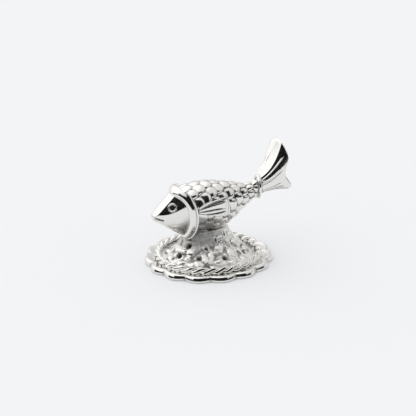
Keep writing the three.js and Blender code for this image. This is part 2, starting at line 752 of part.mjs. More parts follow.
/** Oval wire ring in its own plane: its axis is the local Z, its depth lies along the local Y. */
function tailRing() {
  const wire = TAIL_RING_WIRE / 2;
  const deep = TAIL_ROOT_DEPTH / 2 + SOLDER_GAP + wire;
  const wide = TAIL_ROOT_WIDTH / 2 + SOLDER_GAP + wire;
  const sections = Array.from({ length: TAIL_RING_STEPS }, (_, i) => {
    const turn = (2 * Math.PI * i) / TAIL_RING_STEPS;
    return Array.from({ length: WIRE_STEPS }, (_, j) => {
      const around = (2 * Math.PI * j) / WIRE_STEPS;
      const reach = wire * Math.cos(around);
      return new THREE.Vector3(
        (wide + reach) * Math.sin(turn),
        (deep + reach) * Math.cos(turn),
        wire * Math.sin(around),
      );
    });
  });
  return ringLoft(sections);
}

/** The tail's fan from its root to the trailing edge, folded back along its leading edge. */
function tailFin() {
  const { lerp, smoothstep, clamp } = THREE.MathUtils;
  const root = spineFrame(spineLength).point;
  const start = root.clone().addScaledVector(tailward, SOLDER_GAP);
  const offset = (reach, rise) => root.clone().add(new THREE.Vector3(reach, 0, rise));
  const trailing = new THREE.CatmullRomCurve3(
    [
      offset(TAIL_LOWER_REACH, -TAIL_LOWER_DROP),
      offset(TAIL_HEEL_REACH, -TAIL_HEEL_DROP),
      offset(TAIL_NOTCH_REACH, TAIL_NOTCH_RISE),
      offset(TAIL_BELLY_REACH, TAIL_BELLY_RISE),
      offset(TAIL_SHOULDER_REACH, TAIL_SHOULDER_RISE),
      offset(TAIL_TIP_REACH, TAIL_TIP_RISE),
      offset(TAIL_LEAD_REACH, TAIL_LEAD_RISE),
    ],
    false,
    "centripetal",
  );
  const rootHalf = TAIL_ROOT_DEPTH / 2;
  const rounded = (x) => Math.sqrt(Math.max(0, 1 - x * x));
  const thickAt = (along, across) => {
    const plug = (TAIL_ROOT_WIDTH / 2) * rounded(2 * across - 1);
    const away = Math.min(
      Math.abs(across - TAIL_UPPER_RAY_SHARE),
      Math.abs(across - TAIL_LOWER_RAY_SHARE),
    );
    const ray = TAIL_RAY_RELIEF * Math.max(0, 1 - away / TAIL_RAY_HALF_SHARE);
    const sheet = TAIL_SHEET_THICKNESS / 2 + ray;
    const shape = lerp(plug, sheet, smoothstep(along, 0, TAIL_PLUG_SHARE));
    const hem = rounded(Math.max(0, 1 - Math.min(across, 1 - across, 1 - along) / TAIL_HEM_SHARE));
    return Math.max(TAIL_EDGE_THICKNESS / 2, shape * hem);
  };
  const point = (along, across, face) => {
    const bulge = Math.sin(Math.PI * along);
    const fan = smoothstep(across, 0, TAIL_FAN_SHARE);
    const fold = TAIL_FOLD_SHARE - TAIL_FOLD_BOW_SHARE * bulge;
    const sag = TAIL_LOWER_BOW - TAIL_FAN_SAG * fan - TAIL_LEAD_SAG * smoothstep(across, 2 * fold - 1, 1);
    const lean = clamp((across - TAIL_LEAN_SHARE) / (fold - TAIL_LEAN_SHARE), 0, 1) ** 2;
    const lead = clamp((across - fold) / (1 - fold), 0, 1);
    const deep = TAIL_FOLD_DEPTH * smoothstep(along, 0, TAIL_FOLD_START_SHARE);
    const folded = deep * (1 - (1 - lead) ** TAIL_FOLD_POWER);
    const back = along * (TAIL_LEAN * lean - TAIL_LOWER_OUT) + folded;
    const from = start.clone().addScaledVector(dorsal, rootHalf * (2 * across - 1));
    return from
      .lerp(trailing.getPointAt(across), along)
      .addScaledVector(dorsal, sag * bulge)
      .addScaledVector(lateral, face * thickAt(along, across) - back);
  };
  const grid = (face) =>
    Array.from({ length: TAIL_ROWS + 1 }, (_, i) =>
      Array.from({ length: TAIL_COLUMNS + 1 }, (_, j) => point(i / TAIL_ROWS, j / TAIL_COLUMNS, face)),
    );
  return toGeometry(toSolid(sheetSolid(grid(1), grid(-1))).add(tang(0)));
}

// Mound and peg

const neckMiddle = spineFrame(GIRTH_STATION).point.z - GIRTH_DEPTH / 2;

/** The peg stands on the plate and ends in the belly. */
function peg(grow) {
  const from = new THREE.Vector3(0, 0, plateTop + SOLDER_GAP - grow);
  const length = neckMiddle + PEG_IN_BELLY - from.z;
  return roundBar(from, dorsal, PEG_DIAMETER + 2 * grow, length + grow);
}

/** The mound: a flared foot under a steep neck, with pebbles strewn over its lower part. */
function pebbleMound() {
  const { lerp } = THREE.MathUtils;
  const foot = ropeRadius - ROPE_WIRE - SOLDER_GAP;
  const bottom = plateTop + SOLDER_GAP;
  const flare = (shoulder, waist, neck) =>
    new THREE.CubicBezierCurve(
      new THREE.Vector2(foot, bottom),
      new THREE.Vector2(shoulder / 2, bottom + MOUND_SHOULDER_RISE),
      new THREE.Vector2(waist / 2, bottom + MOUND_WAIST_RISE),
      new THREE.Vector2(neck / 2, neckMiddle + MOUND_IN_BELLY),
    );
  const lengthwise = flare(MOUND_SHOULDER_LENGTH, MOUND_WAIST_LENGTH, MOUND_NECK_LENGTH);
  const crosswise = flare(MOUND_SHOULDER_WIDTH, MOUND_WAIST_WIDTH, MOUND_NECK_WIDTH);
  const place = (share, turn) => {
    const x = lengthwise.getPointAt(share);
    const y = crosswise.getPointAt(share);
    const height = lerp(x.y, y.y, Math.sin(turn) ** 2);
    return new THREE.Vector3(x.x * Math.cos(turn), y.x * Math.sin(turn), height);
  };
  const outward = (share, turn) => {
    const along = place(share + PLACE_STEP, turn).sub(place(share, turn));
    const around = place(share, turn + PLACE_STEP).sub(place(share, turn));
    return new THREE.Vector3().crossVectors(around, along).normalize();
  };
  const scatter = (i, ratio) => (i * ratio) % 1;
  const thin = (share) => 1 - Math.sqrt(1 - PEBBLE_THINNING * share);
  const pebbles = Array.from({ length: PEBBLE_COUNT }, (_, k) => {
    const climb = thin(scatter(k + 1, PLASTIC_SQUARE)) / thin(1);
    const size = scatter(k + 1, GOLDEN_SQUARE);
    const grown = lerp(PEBBLE_LOW_SHARE, 1, Math.min(1, (climb * PEBBLED_SHARE) / PEBBLE_GROWN_SHARE));
    return {
      middle: place(PEBBLED_FROM_SHARE + PEBBLED_SHARE * climb, 2 * Math.PI * scatter(k + 1, PLASTIC)),
      reach: (grown * lerp(PEBBLE_SMALLEST, PEBBLE_LARGEST, size)) / 2,
      rise: grown * lerp(PEBBLE_LOWEST, PEBBLE_HIGHEST, size),
    };
  });
  const bump = (p) =>
    pebbles.reduce((high, { middle, reach, rise }) => {
      const away = middle.distanceTo(p) / reach;
      return Math.max(high, rise * Math.sqrt(Math.max(0, 1 - away * away)));
    }, 0);
  const rings = Array.from({ length: MOUND_ROWS + 1 }, (_, i) => {
    const share = i / MOUND_ROWS;
    return Array.from({ length: MOUND_COLUMNS }, (_, j) => {
      const turn = (2 * Math.PI * j) / MOUND_COLUMNS;
      const p = place(share, turn);
      const lift = i === 0 || i === MOUND_ROWS ? 0 : bump(p);
      return lift > 0 ? p.addScaledVector(outward(share, turn), lift) : p;
    });
  });
  const mound = toSolid(loft(rings, middleOf(rings[0]), middleOf(rings[MOUND_ROWS])))
    .subtract(fishEnvelope(SOLDER_GAP))
    .subtract(toSolid(collarBand(SOLDER_GAP)))
    .subtract(peg(SOLDER_GAP));
  return toGeometry(mound);
}

// Assembly

/** Polished silver; each piece has its own copy so that it can be tinted alone. */
function silver(roughness) {
  return new THREE.MeshStandardMaterial({ color: 0xe9e8e4, metalness: 1, roughness });
}

function piece(name, geometry, roughness = 0.14) {
  const mesh = new THREE.Mesh(geometry, silver(roughness));
  mesh.name = name;
  return mesh;
}

/** One eye in a group that lies on the cheek, with the group's Z pointing out. */
function eye(side, label) {
  const { point, out } = eyeFrame(side);
  const group = new THREE.Group();
  group.position.copy(point).addScaledVector(out, -EYE_SEAT_DEPTH + SOLDER_GAP);
  group.quaternion.setFromUnitVectors(dorsal, out);
  const wire = EYE_RING_WIRE / 2;
  const ring = new THREE.TorusGeometry(EYE_RING_DIAMETER / 2 - wire, wire, WIRE_STEPS, ROUND_STEPS);
  const ringMesh = piece(label + "_eye_ring", ring);
  ringMesh.position.z = wire;
  const beadRadius = EYE_RING_DIAMETER / 2 - EYE_RING_WIRE - SOLDER_GAP;
  const dome = [new THREE.Vector2(0, 0), new THREE.Vector2(beadRadius, 0)];
  for (let i = 1; i <= BEAD_STEPS; i++) {
    const a = (Math.PI / 2) * (i / BEAD_STEPS);
    const radius = i === BEAD_STEPS ? 0 : beadRadius * Math.cos(a);
    dome.push(new THREE.Vector2(radius, EYE_BEAD_RISE * Math.sin(a)));
  }
  const bead = piece(label + "_eye_bead", new THREE.LatheGeometry(dome, ROUND_STEPS));
  bead.rotation.x = Math.PI / 2;
  group.add(ringMesh, bead);
  return group;
}

const idol = new THREE.Group();
idol.add(piece("base_plate", basePlate()));
idol.add(piece("rope_ring", ropeRing()));
idol.add(piece("pebble_mound", pebbleMound(), 0.2));
idol.add(piece("support_peg", toGeometry(peg(0)), 0.3));
idol.add(piece("fish_body", fishBody()));
idol.add(piece("fish_head", fishHead(), 0.1));
idol.add(piece("gill_collar", collarBand(0), 0.1));
idol.add(piece("left_pectoral_fin", pectoralFin(1)));
idol.add(piece("right_pectoral_fin", pectoralFin(-1)));
idol.add(eye(1, "left"), eye(-1, "right"));

const ring = piece("tail_ring", tailRing());
ring.position.copy(spineFrame(spineLength).point);
ring.rotation.set(Math.PI / 2, Math.PI / 2, 0);
idol.add(ring);
idol.add(piece("tail_fin", tailFin(), 0.1));

export default idol;
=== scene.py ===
import math

import bmesh
import bpy
import numpy as np
from mathutils import Matrix, Vector, noise


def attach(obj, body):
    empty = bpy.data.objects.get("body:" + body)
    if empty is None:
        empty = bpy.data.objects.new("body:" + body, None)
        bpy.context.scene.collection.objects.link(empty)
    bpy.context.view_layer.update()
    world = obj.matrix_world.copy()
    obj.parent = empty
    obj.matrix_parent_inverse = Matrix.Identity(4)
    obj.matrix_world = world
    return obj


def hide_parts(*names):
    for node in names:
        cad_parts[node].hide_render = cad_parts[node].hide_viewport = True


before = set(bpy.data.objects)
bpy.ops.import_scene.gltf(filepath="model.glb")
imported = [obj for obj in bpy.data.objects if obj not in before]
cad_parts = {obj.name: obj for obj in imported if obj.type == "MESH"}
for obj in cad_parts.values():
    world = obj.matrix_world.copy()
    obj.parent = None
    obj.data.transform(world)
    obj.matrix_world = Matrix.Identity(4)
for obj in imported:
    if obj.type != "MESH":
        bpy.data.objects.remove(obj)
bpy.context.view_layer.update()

bl_info = {
    "name": "Silver fish idol",
    "version": (1, 0, 0),
    "blender": (4, 5, 0),
    "location": "View3D > Sidebar > Fish idol",
    "description": "Builds a small polished silver fish idol on a scalloped, rope-bordered base",
    "category": "Add Mesh",
}

MM = 0.001

# The fish's form in millimetres, as it was laid out for the solids. Its spine is a cubic curve in
# the XZ plane from the snout to the tail root, and a station is a length along it.
SPINE_PULLS = np.array([(-12.3, 11.4), (-4.0, 12.3), (5.5, 11.3), (11.6, 15.1)])
CHEEK_STATION = 4.0
GIRTH_STATION = 10.6
HEAD_SQUARENESS = 2.8
BODY_SQUARENESS = 2.1
COLLAR_TOP_STATION = 5.0
COLLAR_THROAT_STATION = 6.0
COLLAR_SWEEP = 2.55
COLLAR_HALF = 1.0
# Where the collar narrows, in radians from the back, and the share of it that is left at the throat
COLLAR_NARROWS = (1.9, 3.0)
COLLAR_THROAT_SHARE = 0.35
SOLDER_GAP = 0.1
TAIL_ROOT_DEPTH = 4.1
TAIL_ROOT_WIDTH = 2.8
PLATE_TOP = 0.9
ROPE_RING_RADIUS = 11.18
MOUND_FOOT_RADIUS = 10.36
NECK_MIDDLE = 5.87
NORMAL_STEP = 0.02

# The head is carved in flat facets. Each row is a facet of its left half, with the outward
# direction and a point of it: forehead, cheek, muzzle, jaw, throat and chin.
HEAD_FACETS = np.array([
    ((-0.697, -0.250, 0.672), (-9.0, 0.0, 15.55)),
    ((-0.365, -0.866, 0.342), (-11.4, -1.7, 12.43)),
    ((-0.405, -0.913, -0.052), (-9.33, -2.69, 12.14)),
    ((-0.192, -0.980, -0.052), (-9.33, -2.69, 12.14)),
    ((-0.220, -0.930, -0.293), (-8.7, -2.45, 10.2)),
    ((-0.520, -0.300, -0.800), (-8.92, 0.0, 8.3)),
])
CHEEK = HEAD_FACETS[1]
FACET_SHARPNESS = 18
SNOUT_ROUND = 0.9
SNOUT_TIP_SHARES = np.array((1.0, 0.6, 0.86))
EYE_SPOT = np.array((-8.49, -2.41, 13.73))


# Curves

def smoothstep(x, low, high):
    t = np.clip((x - low) / (high - low), 0, 1)
    return t * t * (3 - 2 * t)


def lerp(a, b, t):
    return a + (b - a) * t


def arch(x, power=2, least=0):
    """A round arch over -1 to 1; a higher power is squarer."""
    return np.sqrt(np.clip(1 - np.abs(x) ** power, least, 1))


def rounded(x):
    """A quarter round that climbs from 0 to 1."""
    return arch(1 - np.clip(x, 0, 1))


def ridge(x, place, width):
    """A soft ridge of unit height."""
    return np.exp(-((x - place) / width) ** 2)


def full_turn(count):
    return np.linspace(0, 2 * np.pi, count, endpoint=False)


def unit(vectors):
    return vectors / np.maximum(np.linalg.norm(vectors, axis=-1, keepdims=True), 1e-12)


def off_axis(points, spot, out):
    """How far points lie from a spot along an axis, and how far beside that axis."""
    away = points - spot
    deep = np.sum(away * out, axis=-1)
    return deep, np.linalg.norm(away - deep[..., None] * out, axis=-1)


def lengths_along(points):
    """The length of a line of points up to each of them."""
    return np.concatenate([[0], np.cumsum(np.linalg.norm(np.diff(points, axis=0), axis=1))])


def curve_table(pulls, samples=4001):
    """Lengths along a cubic curve with the two coordinates at each."""
    t = np.linspace(0, 1, samples)[:, None]
    a, b, c, d = np.asarray(pulls, float)
    points = a * (1 - t) ** 3 + 3 * b * t * (1 - t) ** 2 + 3 * c * t ** 2 * (1 - t) + d * t ** 3
    return lengths_along(points), points[:, 0], points[:, 1]


def hermite(t, first, last, start, end):
    """A cubic between two values with the slopes that it has at both."""
    rise = last - first
    return first + t * (start + t * (3 * rise - 2 * start - end + t * (start + end - 2 * rise)))


def smooth_profile(stations, values):
    """A curve through values at stations, by Hermite pieces with averaged slopes."""
    slopes = np.gradient(values, stations)
    slopes[1:-1] = (values[2:] - values[:-2]) / (stations[2:] - stations[:-2])

    def at(s):
        k = np.clip(np.searchsorted(stations, s, side="right") - 1, 0, len(stations) - 2)
        width = stations[k + 1] - stations[k]
        t = (s - stations[k]) / width
        return hermite(t, values[k], values[k + 1], slopes[k] * width, slopes[k + 1] * width)

    return at


def smooth_path(points, samples, steps=200):
    """Points evenly spaced along a centripetal curve through the given ones."""
    points = np.asarray(points, float)
    padded = np.vstack([2 * points[0] - points[1], points, 2 * points[-1] - points[-2]])
    t = np.linspace(0, 1, steps, endpoint=False)[:, None]
    pieces = []
    for p0, p1, p2, p3 in zip(padded, padded[1:], padded[2:], padded[3:]):
        d0, d1, d2 = (np.linalg.norm(b - a) ** 0.5 for a, b in ((p0, p1), (p1, p2), (p2, p3)))
        start = d1 * ((p1 - p0) / d0 - (p2 - p0) / (d0 + d1) + (p2 - p1) / d1)
        end = d1 * ((p2 - p1) / d1 - (p3 - p1) / (d1 + d2) + (p3 - p2) / d2)
        pieces.append(hermite(t, p1, p2, start, end))
    curve = np.vstack(pieces + [points[-1:]])
    length = lengths_along(curve)
    even = np.linspace(0, length[-1], samples)
    return np.stack([np.interp(even, length, column) for column in curve.T], axis=-1)


# Shapes of the fish

SPINE_S, SPINE_X, SPINE_Z = curve_table(SPINE_PULLS)
SPINE_LENGTH = SPINE_S[-1]

# Half depth and half width at stations from the snout
GIRTHS = np.array([
    (0, 1.35, 1.2),
    (CHEEK_STATION, 4.5, 3.2),
    (GIRTH_STATION, 6.15, 4.35),
    (18.2, 4.15, 2.7),
    (21.8, 2.1, 1.55),
    (SPINE_LENGTH, TAIL_ROOT_DEPTH / 2, TAIL_ROOT_WIDTH / 2),
])
half_depth = smooth_profile(GIRTHS[:, 0], GIRTHS[:, 1])
half_width = smooth_profile(GIRTHS[:, 0], GIRTHS[:, 2])


def spine_point(station):
    return np.stack([np.interp(station, SPINE_S, SPINE_X), 0.0 * station,
                     np.interp(station, SPINE_S, SPINE_Z)], axis=-1)


def skin(station, angle, out=0.0):
    """The fish's surface at a station and an angle from the back; a quarter turn is the left side."""
    station, angle, out = np.broadcast_arrays(
        np.asarray(station, float), np.asarray(angle, float), np.asarray(out, float))
    to_body = smoothstep(station, CHEEK_STATION, GIRTH_STATION)
    power = 2 / lerp(HEAD_SQUARENESS, BODY_SQUARENESS, to_body)
    cosine, sine = np.cos(angle), np.sin(angle)
    up = (half_depth(station) + out) * np.sign(cosine) * np.abs(cosine) ** power
    left = (half_width(station) + out) * np.sign(sine) * np.abs(sine) ** power
    return spine_point(station) + np.stack([0 * up, -left, up], axis=-1)


def skin_normal(station, angle):
    """The outward direction of the fish's surface."""
    along = skin(station + NORMAL_STEP, angle) - skin(station - NORMAL_STEP, angle)
    around = skin(station, angle + NORMAL_STEP) - skin(station, angle - NORMAL_STEP)
    normal = unit(np.cross(around, along))
    outward = np.sum(normal * (skin(station, angle) - spine_point(station)), axis=-1, keepdims=True)
    return np.where(outward < 0, -normal, normal)


def head_skin(station, angle):
    """The faceted head in the same directions as the fish's surface, with a blunt snout."""
    station, angle = np.broadcast_arrays(np.asarray(station, float), np.asarray(angle, float))
    middle = spine_point(station)
    spoke = unit(skin(station, angle) - middle)
    left = np.stack([spoke[..., 0], -np.abs(spoke[..., 1]), spoke[..., 2]], axis=-1)
    total = 0
    for normal, spot in HEAD_FACETS:
        away = np.sum((spot - middle) * normal, axis=-1)
        total = total + (np.maximum(np.sum(left * normal, axis=-1), 0) / away) ** FACET_SHARPNESS
    blunt = lerp(SNOUT_TIP_SHARES, 1, rounded(station / SNOUT_ROUND)[..., None])
    return middle + spoke * blunt * total[..., None] ** (-1 / FACET_SHARPNESS)


def from_back(angle):
    """How far an angle lies from the back, on either side."""
    return np.abs(np.arctan2(np.sin(angle), np.cos(angle)))


def collar_station(angle):
    """The collar's station: ahead on the back, swept towards the tail on the cheeks."""
    throat = (1 - np.cos(angle)) / 2
    return lerp(COLLAR_TOP_STATION, COLLAR_THROAT_STATION, throat) + COLLAR_SWEEP * np.sin(angle) ** 2


def collar_front(angle):
    """Where the collar's front edge lies: the collar narrows to a point under the throat."""
    narrow = smoothstep(from_back(angle), *COLLAR_NARROWS)
    return collar_station(angle) + COLLAR_HALF - 2 * COLLAR_HALF * lerp(1, COLLAR_THROAT_SHARE, narrow)


def eye_frame(side):
    """An eye's place on the cheek and its outward direction."""
    mirror = np.array((1, side, 1))
    return EYE_SPOT * mirror, unit(CHEEK[0]) * mirror


def even_angles(count, station, surface=skin):
    """Angles round a section whose points lie evenly along it."""
    fine = np.linspace(0, 2 * np.pi, 7201)
    length = lengths_along(surface(station, fine))
    return np.interp(np.linspace(0, length[-1], count, endpoint=False), length, fine)


# Mesh helpers. Meshes are shaped in millimetres and turned to metres when they are finished.

def mesh_object(name, points, faces):
    """A new mesh object with its faces turned outwards."""
    mesh = bpy.data.meshes.new(name)
    mesh.from_pydata(np.asarray(points).reshape(-1, 3).tolist(), [], [list(map(int, f)) for f in faces])
    shell = bmesh.new()
    shell.from_mesh(mesh)
    bmesh.ops.recalc_face_normals(shell, faces=shell.faces)
    shell.to_mesh(mesh)
    shell.free()
    return linked(name, mesh)


def linked(name, mesh):
    """A mesh as an object of the scene."""
    obj = bpy.data.objects.new(name, mesh)
    bpy.context.scene.collection.objects.link(obj)
    return obj


def band_faces(rows, columns, wrap=False):
    """Quads between closed rings; the last ring joins the first where wrap is true."""
    i = np.arange(rows if wrap else rows - 1)[:, None] * columns
    after = (i + columns) % (rows * columns)
    j = np.arange(columns)[None, :]
    k = (j + 1) % columns
    return np.stack([i + j, i + k, after + k, after + j], axis=-1).reshape(-1, 4)


def grid_faces(index):
    """Quads between the neighbours of a grid of point numbers."""
    corners = [index[:-1, :-1], index[:-1, 1:], index[1:, 1:], index[1:, :-1]]
    return np.stack(corners, axis=-1).reshape(-1, 4)


def lofted(name, rings):
    """A closed solid through rings, with a fan to the middle of each end ring."""
    rows, columns = rings.shape[:2]
    points = np.vstack([rings.reshape(-1, 3), rings[0].mean(0), rings[-1].mean(0)])
    first, last = rows * columns, rows * columns + 1
    faces = band_faces(rows, columns).tolist()
    end = (rows - 1) * columns
    for j in range(columns):
        k = (j + 1) % columns
        faces += [[first, k, j], [last, end + j, end + k]]
    return mesh_object(name, points, faces)


def ring_lofted(name, sections):
    """A closed ring through sections that come back to the first one."""
    rows, columns = sections.shape[:2]
    return mesh_object(name, sections, band_faces(rows, columns, wrap=True))


def sheet_solid(name, outer, inner):
    """A sheet with thickness between two grids of points, closed along its four borders."""
    rows, columns = outer.shape[:2]
    count = rows * columns
    points = np.vstack([outer.reshape(-1, 3), inner.reshape(-1, 3)])
    index = np.arange(count).reshape(rows, columns)
    front = grid_faces(index)
    border = np.concatenate([index[0, :-1], index[:-1, -1], index[-1, :0:-1], index[:0:-1, 0]])
    behind = border + count
    edge = np.stack([border, behind, np.roll(behind, -1), np.roll(border, -1)], axis=-1)
    return mesh_object(name, points, np.vstack([front, front[:, ::-1] + count, edge]))


def place_points(name, spots, out, along, size):
    """Loose points that each keep two directions and a size for a shape set on them."""
    obj = mesh_object(name, spots, [])
    for key, values in (("out", out), ("along", along), ("size", size)):
        attribute = obj.data.attributes.new(key, "FLOAT_VECTOR", "POINT")
        attribute.data.foreach_set("vector", np.asarray(values, float).ravel())
    return obj


def read_vertices(mesh, key="co"):
    """The place of each vertex, or another vector that it keeps."""
    values = np.empty(len(mesh.vertices) * 3)
    mesh.vertices.foreach_get(key, values)
    return values.reshape(-1, 3)


def move_vertices(mesh, points):
    mesh.vertices.foreach_set("co", points.ravel())
    mesh.update()


def plain_mesh(obj):
    """Makes what the modifiers give the object's own mesh, and removes them."""
    depsgraph = bpy.context.evaluated_depsgraph_get()
    mesh = bpy.data.meshes.new_from_object(obj.evaluated_get(depsgraph))
    shaped = obj.data
    obj.modifiers.clear()
    obj.data = mesh
    bpy.data.meshes.remove(shaped)


def fuse(obj, voxel, passes):
    """Casts overlapping solids as one skin, and softens its inner corners."""
    remesh = obj.modifiers.new("Fuse", "REMESH")
    remesh.mode = "VOXEL"
    remesh.voxel_size = voxel
    soften = obj.modifiers.new("Soften", "SMOOTH")
    soften.factor = 0.5
    soften.iterations = passes
    plain_mesh(obj)


def mark_painted_shade(mesh, shaded_places, depth, passes=14):
    """Keeps where shade is painted into the silver, which is also duller there: how deep each point lies
    below its surroundings, or in a recess.
    """
    points = read_vertices(mesh)
    count = len(points)
    edges = np.empty(len(mesh.edges) * 2, dtype=np.int64)
    mesh.edges.foreach_get("vertices", edges)
    a, b = edges.reshape(-1, 2).T
    degree = np.maximum(np.bincount(a, minlength=count) + np.bincount(b, minlength=count), 1)
    around = points
    for _ in range(passes):
        total = np.stack([np.bincount(a, around[b, k], count) + np.bincount(b, around[a, k], count)
                          for k in range(3)], axis=-1)
        around = total / degree[:, None]
    below = np.sum((around - points) * read_vertices(mesh, "normal"), axis=1)
    # Painted shade: a darker colour in hollows and recesses, where the polish is also duller.
    hollow = mesh.attributes.new("hollow", "FLOAT", "POINT")
    hollow.data.foreach_set("value", np.maximum(np.clip(below / depth, 0, 1), shaded_places(points)))


def no_painted_shade(points):
    """No painted shade at any of the points."""
    return np.zeros(len(points))


def finish_piece(obj, material, node, shaded_places=no_painted_shade, full_shade_depth=0.06):
    """Turns a shaped piece to metres, marks its painted shade, dresses it and puts it in the place of its
    solid.
    """
    mark_painted_shade(obj.data, shaded_places, full_shade_depth)
    obj.data.transform(Matrix.Scale(MM, 4))
    obj.data.name = obj.name
    obj.data.materials.clear()
    obj.data.materials.append(material)
    obj.data.shade_smooth()
    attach(obj, "root")
    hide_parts(node)


def discard(*objects):
    """Removes shapes that were only needed to make a piece."""
    for obj in objects:
        bpy.data.objects.remove(obj)


# Nodes

def add_node(tree, kind, inputs=None, output=0, **settings):
    """Adds a node and gives one of its outputs; an input is a value, or a socket to link from."""
    node = tree.nodes.new(kind)
    for key, value in settings.items():
        setattr(node, key, value)
    for key, value in (inputs or {}).items():
        if isinstance(value, bpy.types.NodeSocket):
            tree.links.new(value, node.inputs[key])
        else:
            node.inputs[key].default_value = value
    return node.outputs[output] if node.outputs else None


def geometry_tree(name, inputs):
    """A Geometry Nodes tree with a geometry socket each way and its own named inputs."""
    tree = bpy.data.node_groups.new(name, "GeometryNodeTree")
    tree.interface.new_socket("Geometry", in_out="OUTPUT", socket_type="NodeSocketGeometry")
    tree.interface.new_socket("Geometry", in_out="INPUT", socket_type="NodeSocketGeometry")
    for label, kind in inputs:
        tree.interface.new_socket(label, in_out="INPUT", socket_type="NodeSocket" + kind)
    return tree, tree.nodes.new("NodeGroupInput").outputs


def close_tree(tree, geometry, material):
    """Ends a tree in plain, smooth geometry with its material."""
    smooth = add_node(tree, "GeometryNodeSetShadeSmooth", {"Geometry": geometry})
    real = add_node(tree, "GeometryNodeRealizeInstances", {"Geometry": smooth})
    dressed = add_node(tree, "GeometryNodeSetMaterial", {"Geometry": real, "Material": material})
    add_node(tree, "NodeGroupOutput", {"Geometry": dressed})


def run_tree(obj, tree, values):
    """Puts a tree on an object with values for its named inputs."""
    modifier = obj.modifiers.new(tree.name, "NODES")
    modifier.node_group = tree
    sockets = {item.name: item.identifier for item in tree.interface.items_tree if item.in_out == "INPUT"}
    for label, value in values.items():
        modifier[sockets[label]] = value


def rope_tree():
    """Wires twisted round a circle and closed into a ring."""
    tree, given = geometry_tree("Twisted rope", [
        ("Ring radius", "Float"), ("Ring height", "Float"), ("Wire diameter", "Float"), ("Twists", "Int"),
        ("Wires", "Int"), ("Steps per twist", "Int"), ("Section steps", "Int"), ("Material", "Material")])
    steps = add_node(tree, "ShaderNodeMath", {0: given["Twists"], 1: given["Steps per twist"]},
                     operation="MULTIPLY")
    circle = add_node(tree, "GeometryNodeCurvePrimitiveCircle",
                      {"Resolution": steps, "Radius": given["Ring radius"]})
    wires = add_node(tree, "GeometryNodeDuplicateElements",
                     {"Geometry": circle, "Amount": given["Wires"]}, domain="SPLINE")
    place = add_node(tree, "GeometryNodeSplineParameter", output="Factor")
    turns = add_node(tree, "ShaderNodeMath", {0: place, 1: given["Twists"]}, operation="MULTIPLY")
    share = add_node(tree, "ShaderNodeMath", {0: wires.node.outputs["Duplicate Index"], 1: given["Wires"]},
                     operation="DIVIDE")
    both = add_node(tree, "ShaderNodeMath", {0: turns, 1: share}, operation="ADD")
    phase = add_node(tree, "ShaderNodeMath", {0: both, 1: 2 * math.pi}, operation="MULTIPLY")
    radius = add_node(tree, "ShaderNodeMath", {0: given["Wire diameter"], 1: 0.5}, operation="MULTIPLY")
    cosine = add_node(tree, "ShaderNodeMath", {0: phase}, operation="COSINE")
    sine = add_node(tree, "ShaderNodeMath", {0: phase}, operation="SINE")
    reach = add_node(tree, "ShaderNodeMath", {0: cosine, 1: radius}, operation="MULTIPLY")
    rise = add_node(tree, "ShaderNodeMath", {0: sine, 1: radius, 2: given["Ring height"]},
                    operation="MULTIPLY_ADD")
    spot = add_node(tree, "GeometryNodeInputPosition")
    outward = add_node(tree, "ShaderNodeVectorMath", {0: spot}, operation="NORMALIZE")
    sideways = add_node(tree, "ShaderNodeVectorMath", {0: outward, "Scale": reach}, operation="SCALE")
    upward = add_node(tree, "ShaderNodeCombineXYZ", {"Z": rise})
    offset = add_node(tree, "ShaderNodeVectorMath", {0: sideways, 1: upward}, operation="ADD")
    twisted = add_node(tree, "GeometryNodeSetPosition", {"Geometry": wires, "Offset": offset})
    section = add_node(tree, "GeometryNodeCurvePrimitiveCircle",
                       {"Resolution": given["Section steps"], "Radius": radius})
    wire = add_node(tree, "GeometryNodeCurveToMesh", {"Curve": twisted, "Profile Curve": section})
    close_tree(tree, wire, given["Material"])
    return tree


def coat_tree():
    """Small shapes set on points, each turned to the point's own directions, over a core."""
    tree, given = geometry_tree("Coat of small shapes", [
        ("Places", "Object"), ("Shape", "Object"), ("Roundness", "Int"), ("Material", "Material")])
    places, shape = (add_node(tree, "GeometryNodeObjectInfo", {"Object": given[key]}, "Geometry")
                     for key in ("Places", "Shape"))
    rounder = add_node(tree, "GeometryNodeSubdivisionSurface", {"Mesh": shape, "Level": given["Roundness"]})
    out, along, size = (add_node(tree, "GeometryNodeInputNamedAttribute", {"Name": key}, "Attribute",
                                 data_type="FLOAT_VECTOR") for key in ("out", "along", "size"))
    upright = add_node(tree, "FunctionNodeAlignRotationToVector", {"Vector": out}, axis="Z")
    turned = add_node(tree, "FunctionNodeAlignRotationToVector",
                      {"Rotation": upright, "Vector": along}, axis="Y", pivot_axis="Z")
    coat = add_node(tree, "GeometryNodeInstanceOnPoints",
                    {"Points": places, "Instance": rounder, "Rotation": turned, "Scale": size})
    joined = add_node(tree, "GeometryNodeJoinGeometry", {0: given["Geometry"]})
    tree.links.new(coat, joined.node.inputs[0])
    close_tree(tree, joined, given["Material"])
    return tree


# Materials. The sizes and heights of their patterns are in millimetres.

HAZE_SIZE = 2.2
HAZE_SPAN = (0.3, 0.9)
WAVE_SIZE = 0.9
WAVE_HEIGHT = 0.1
GRAIN_SIZE = 0.18
GRAIN_HEIGHT = 0.02
HOLLOW_DULLNESS = 2.5


def linear(hex_colour):
    """An sRGB hex colour as linear RGBA."""
    channels = [int(hex_colour[i:i + 2], 16) / 255 for i in (1, 3, 5)]
    return tuple(c / 12.92 if c <= 0.04045 else ((c + 0.055) / 1.055) ** 2.4 for c in channels) + (1.0,)


def new_material(name):
    """A material without nodes, and its tree."""
    material = bpy.data.materials.new(name)
    material.use_nodes = True
    material.node_tree.nodes.clear()
    return material, material.node_tree


def per_mm(size):
    """A texture scale whose features are about this many millimetres across."""
    return 1 / (size * MM)


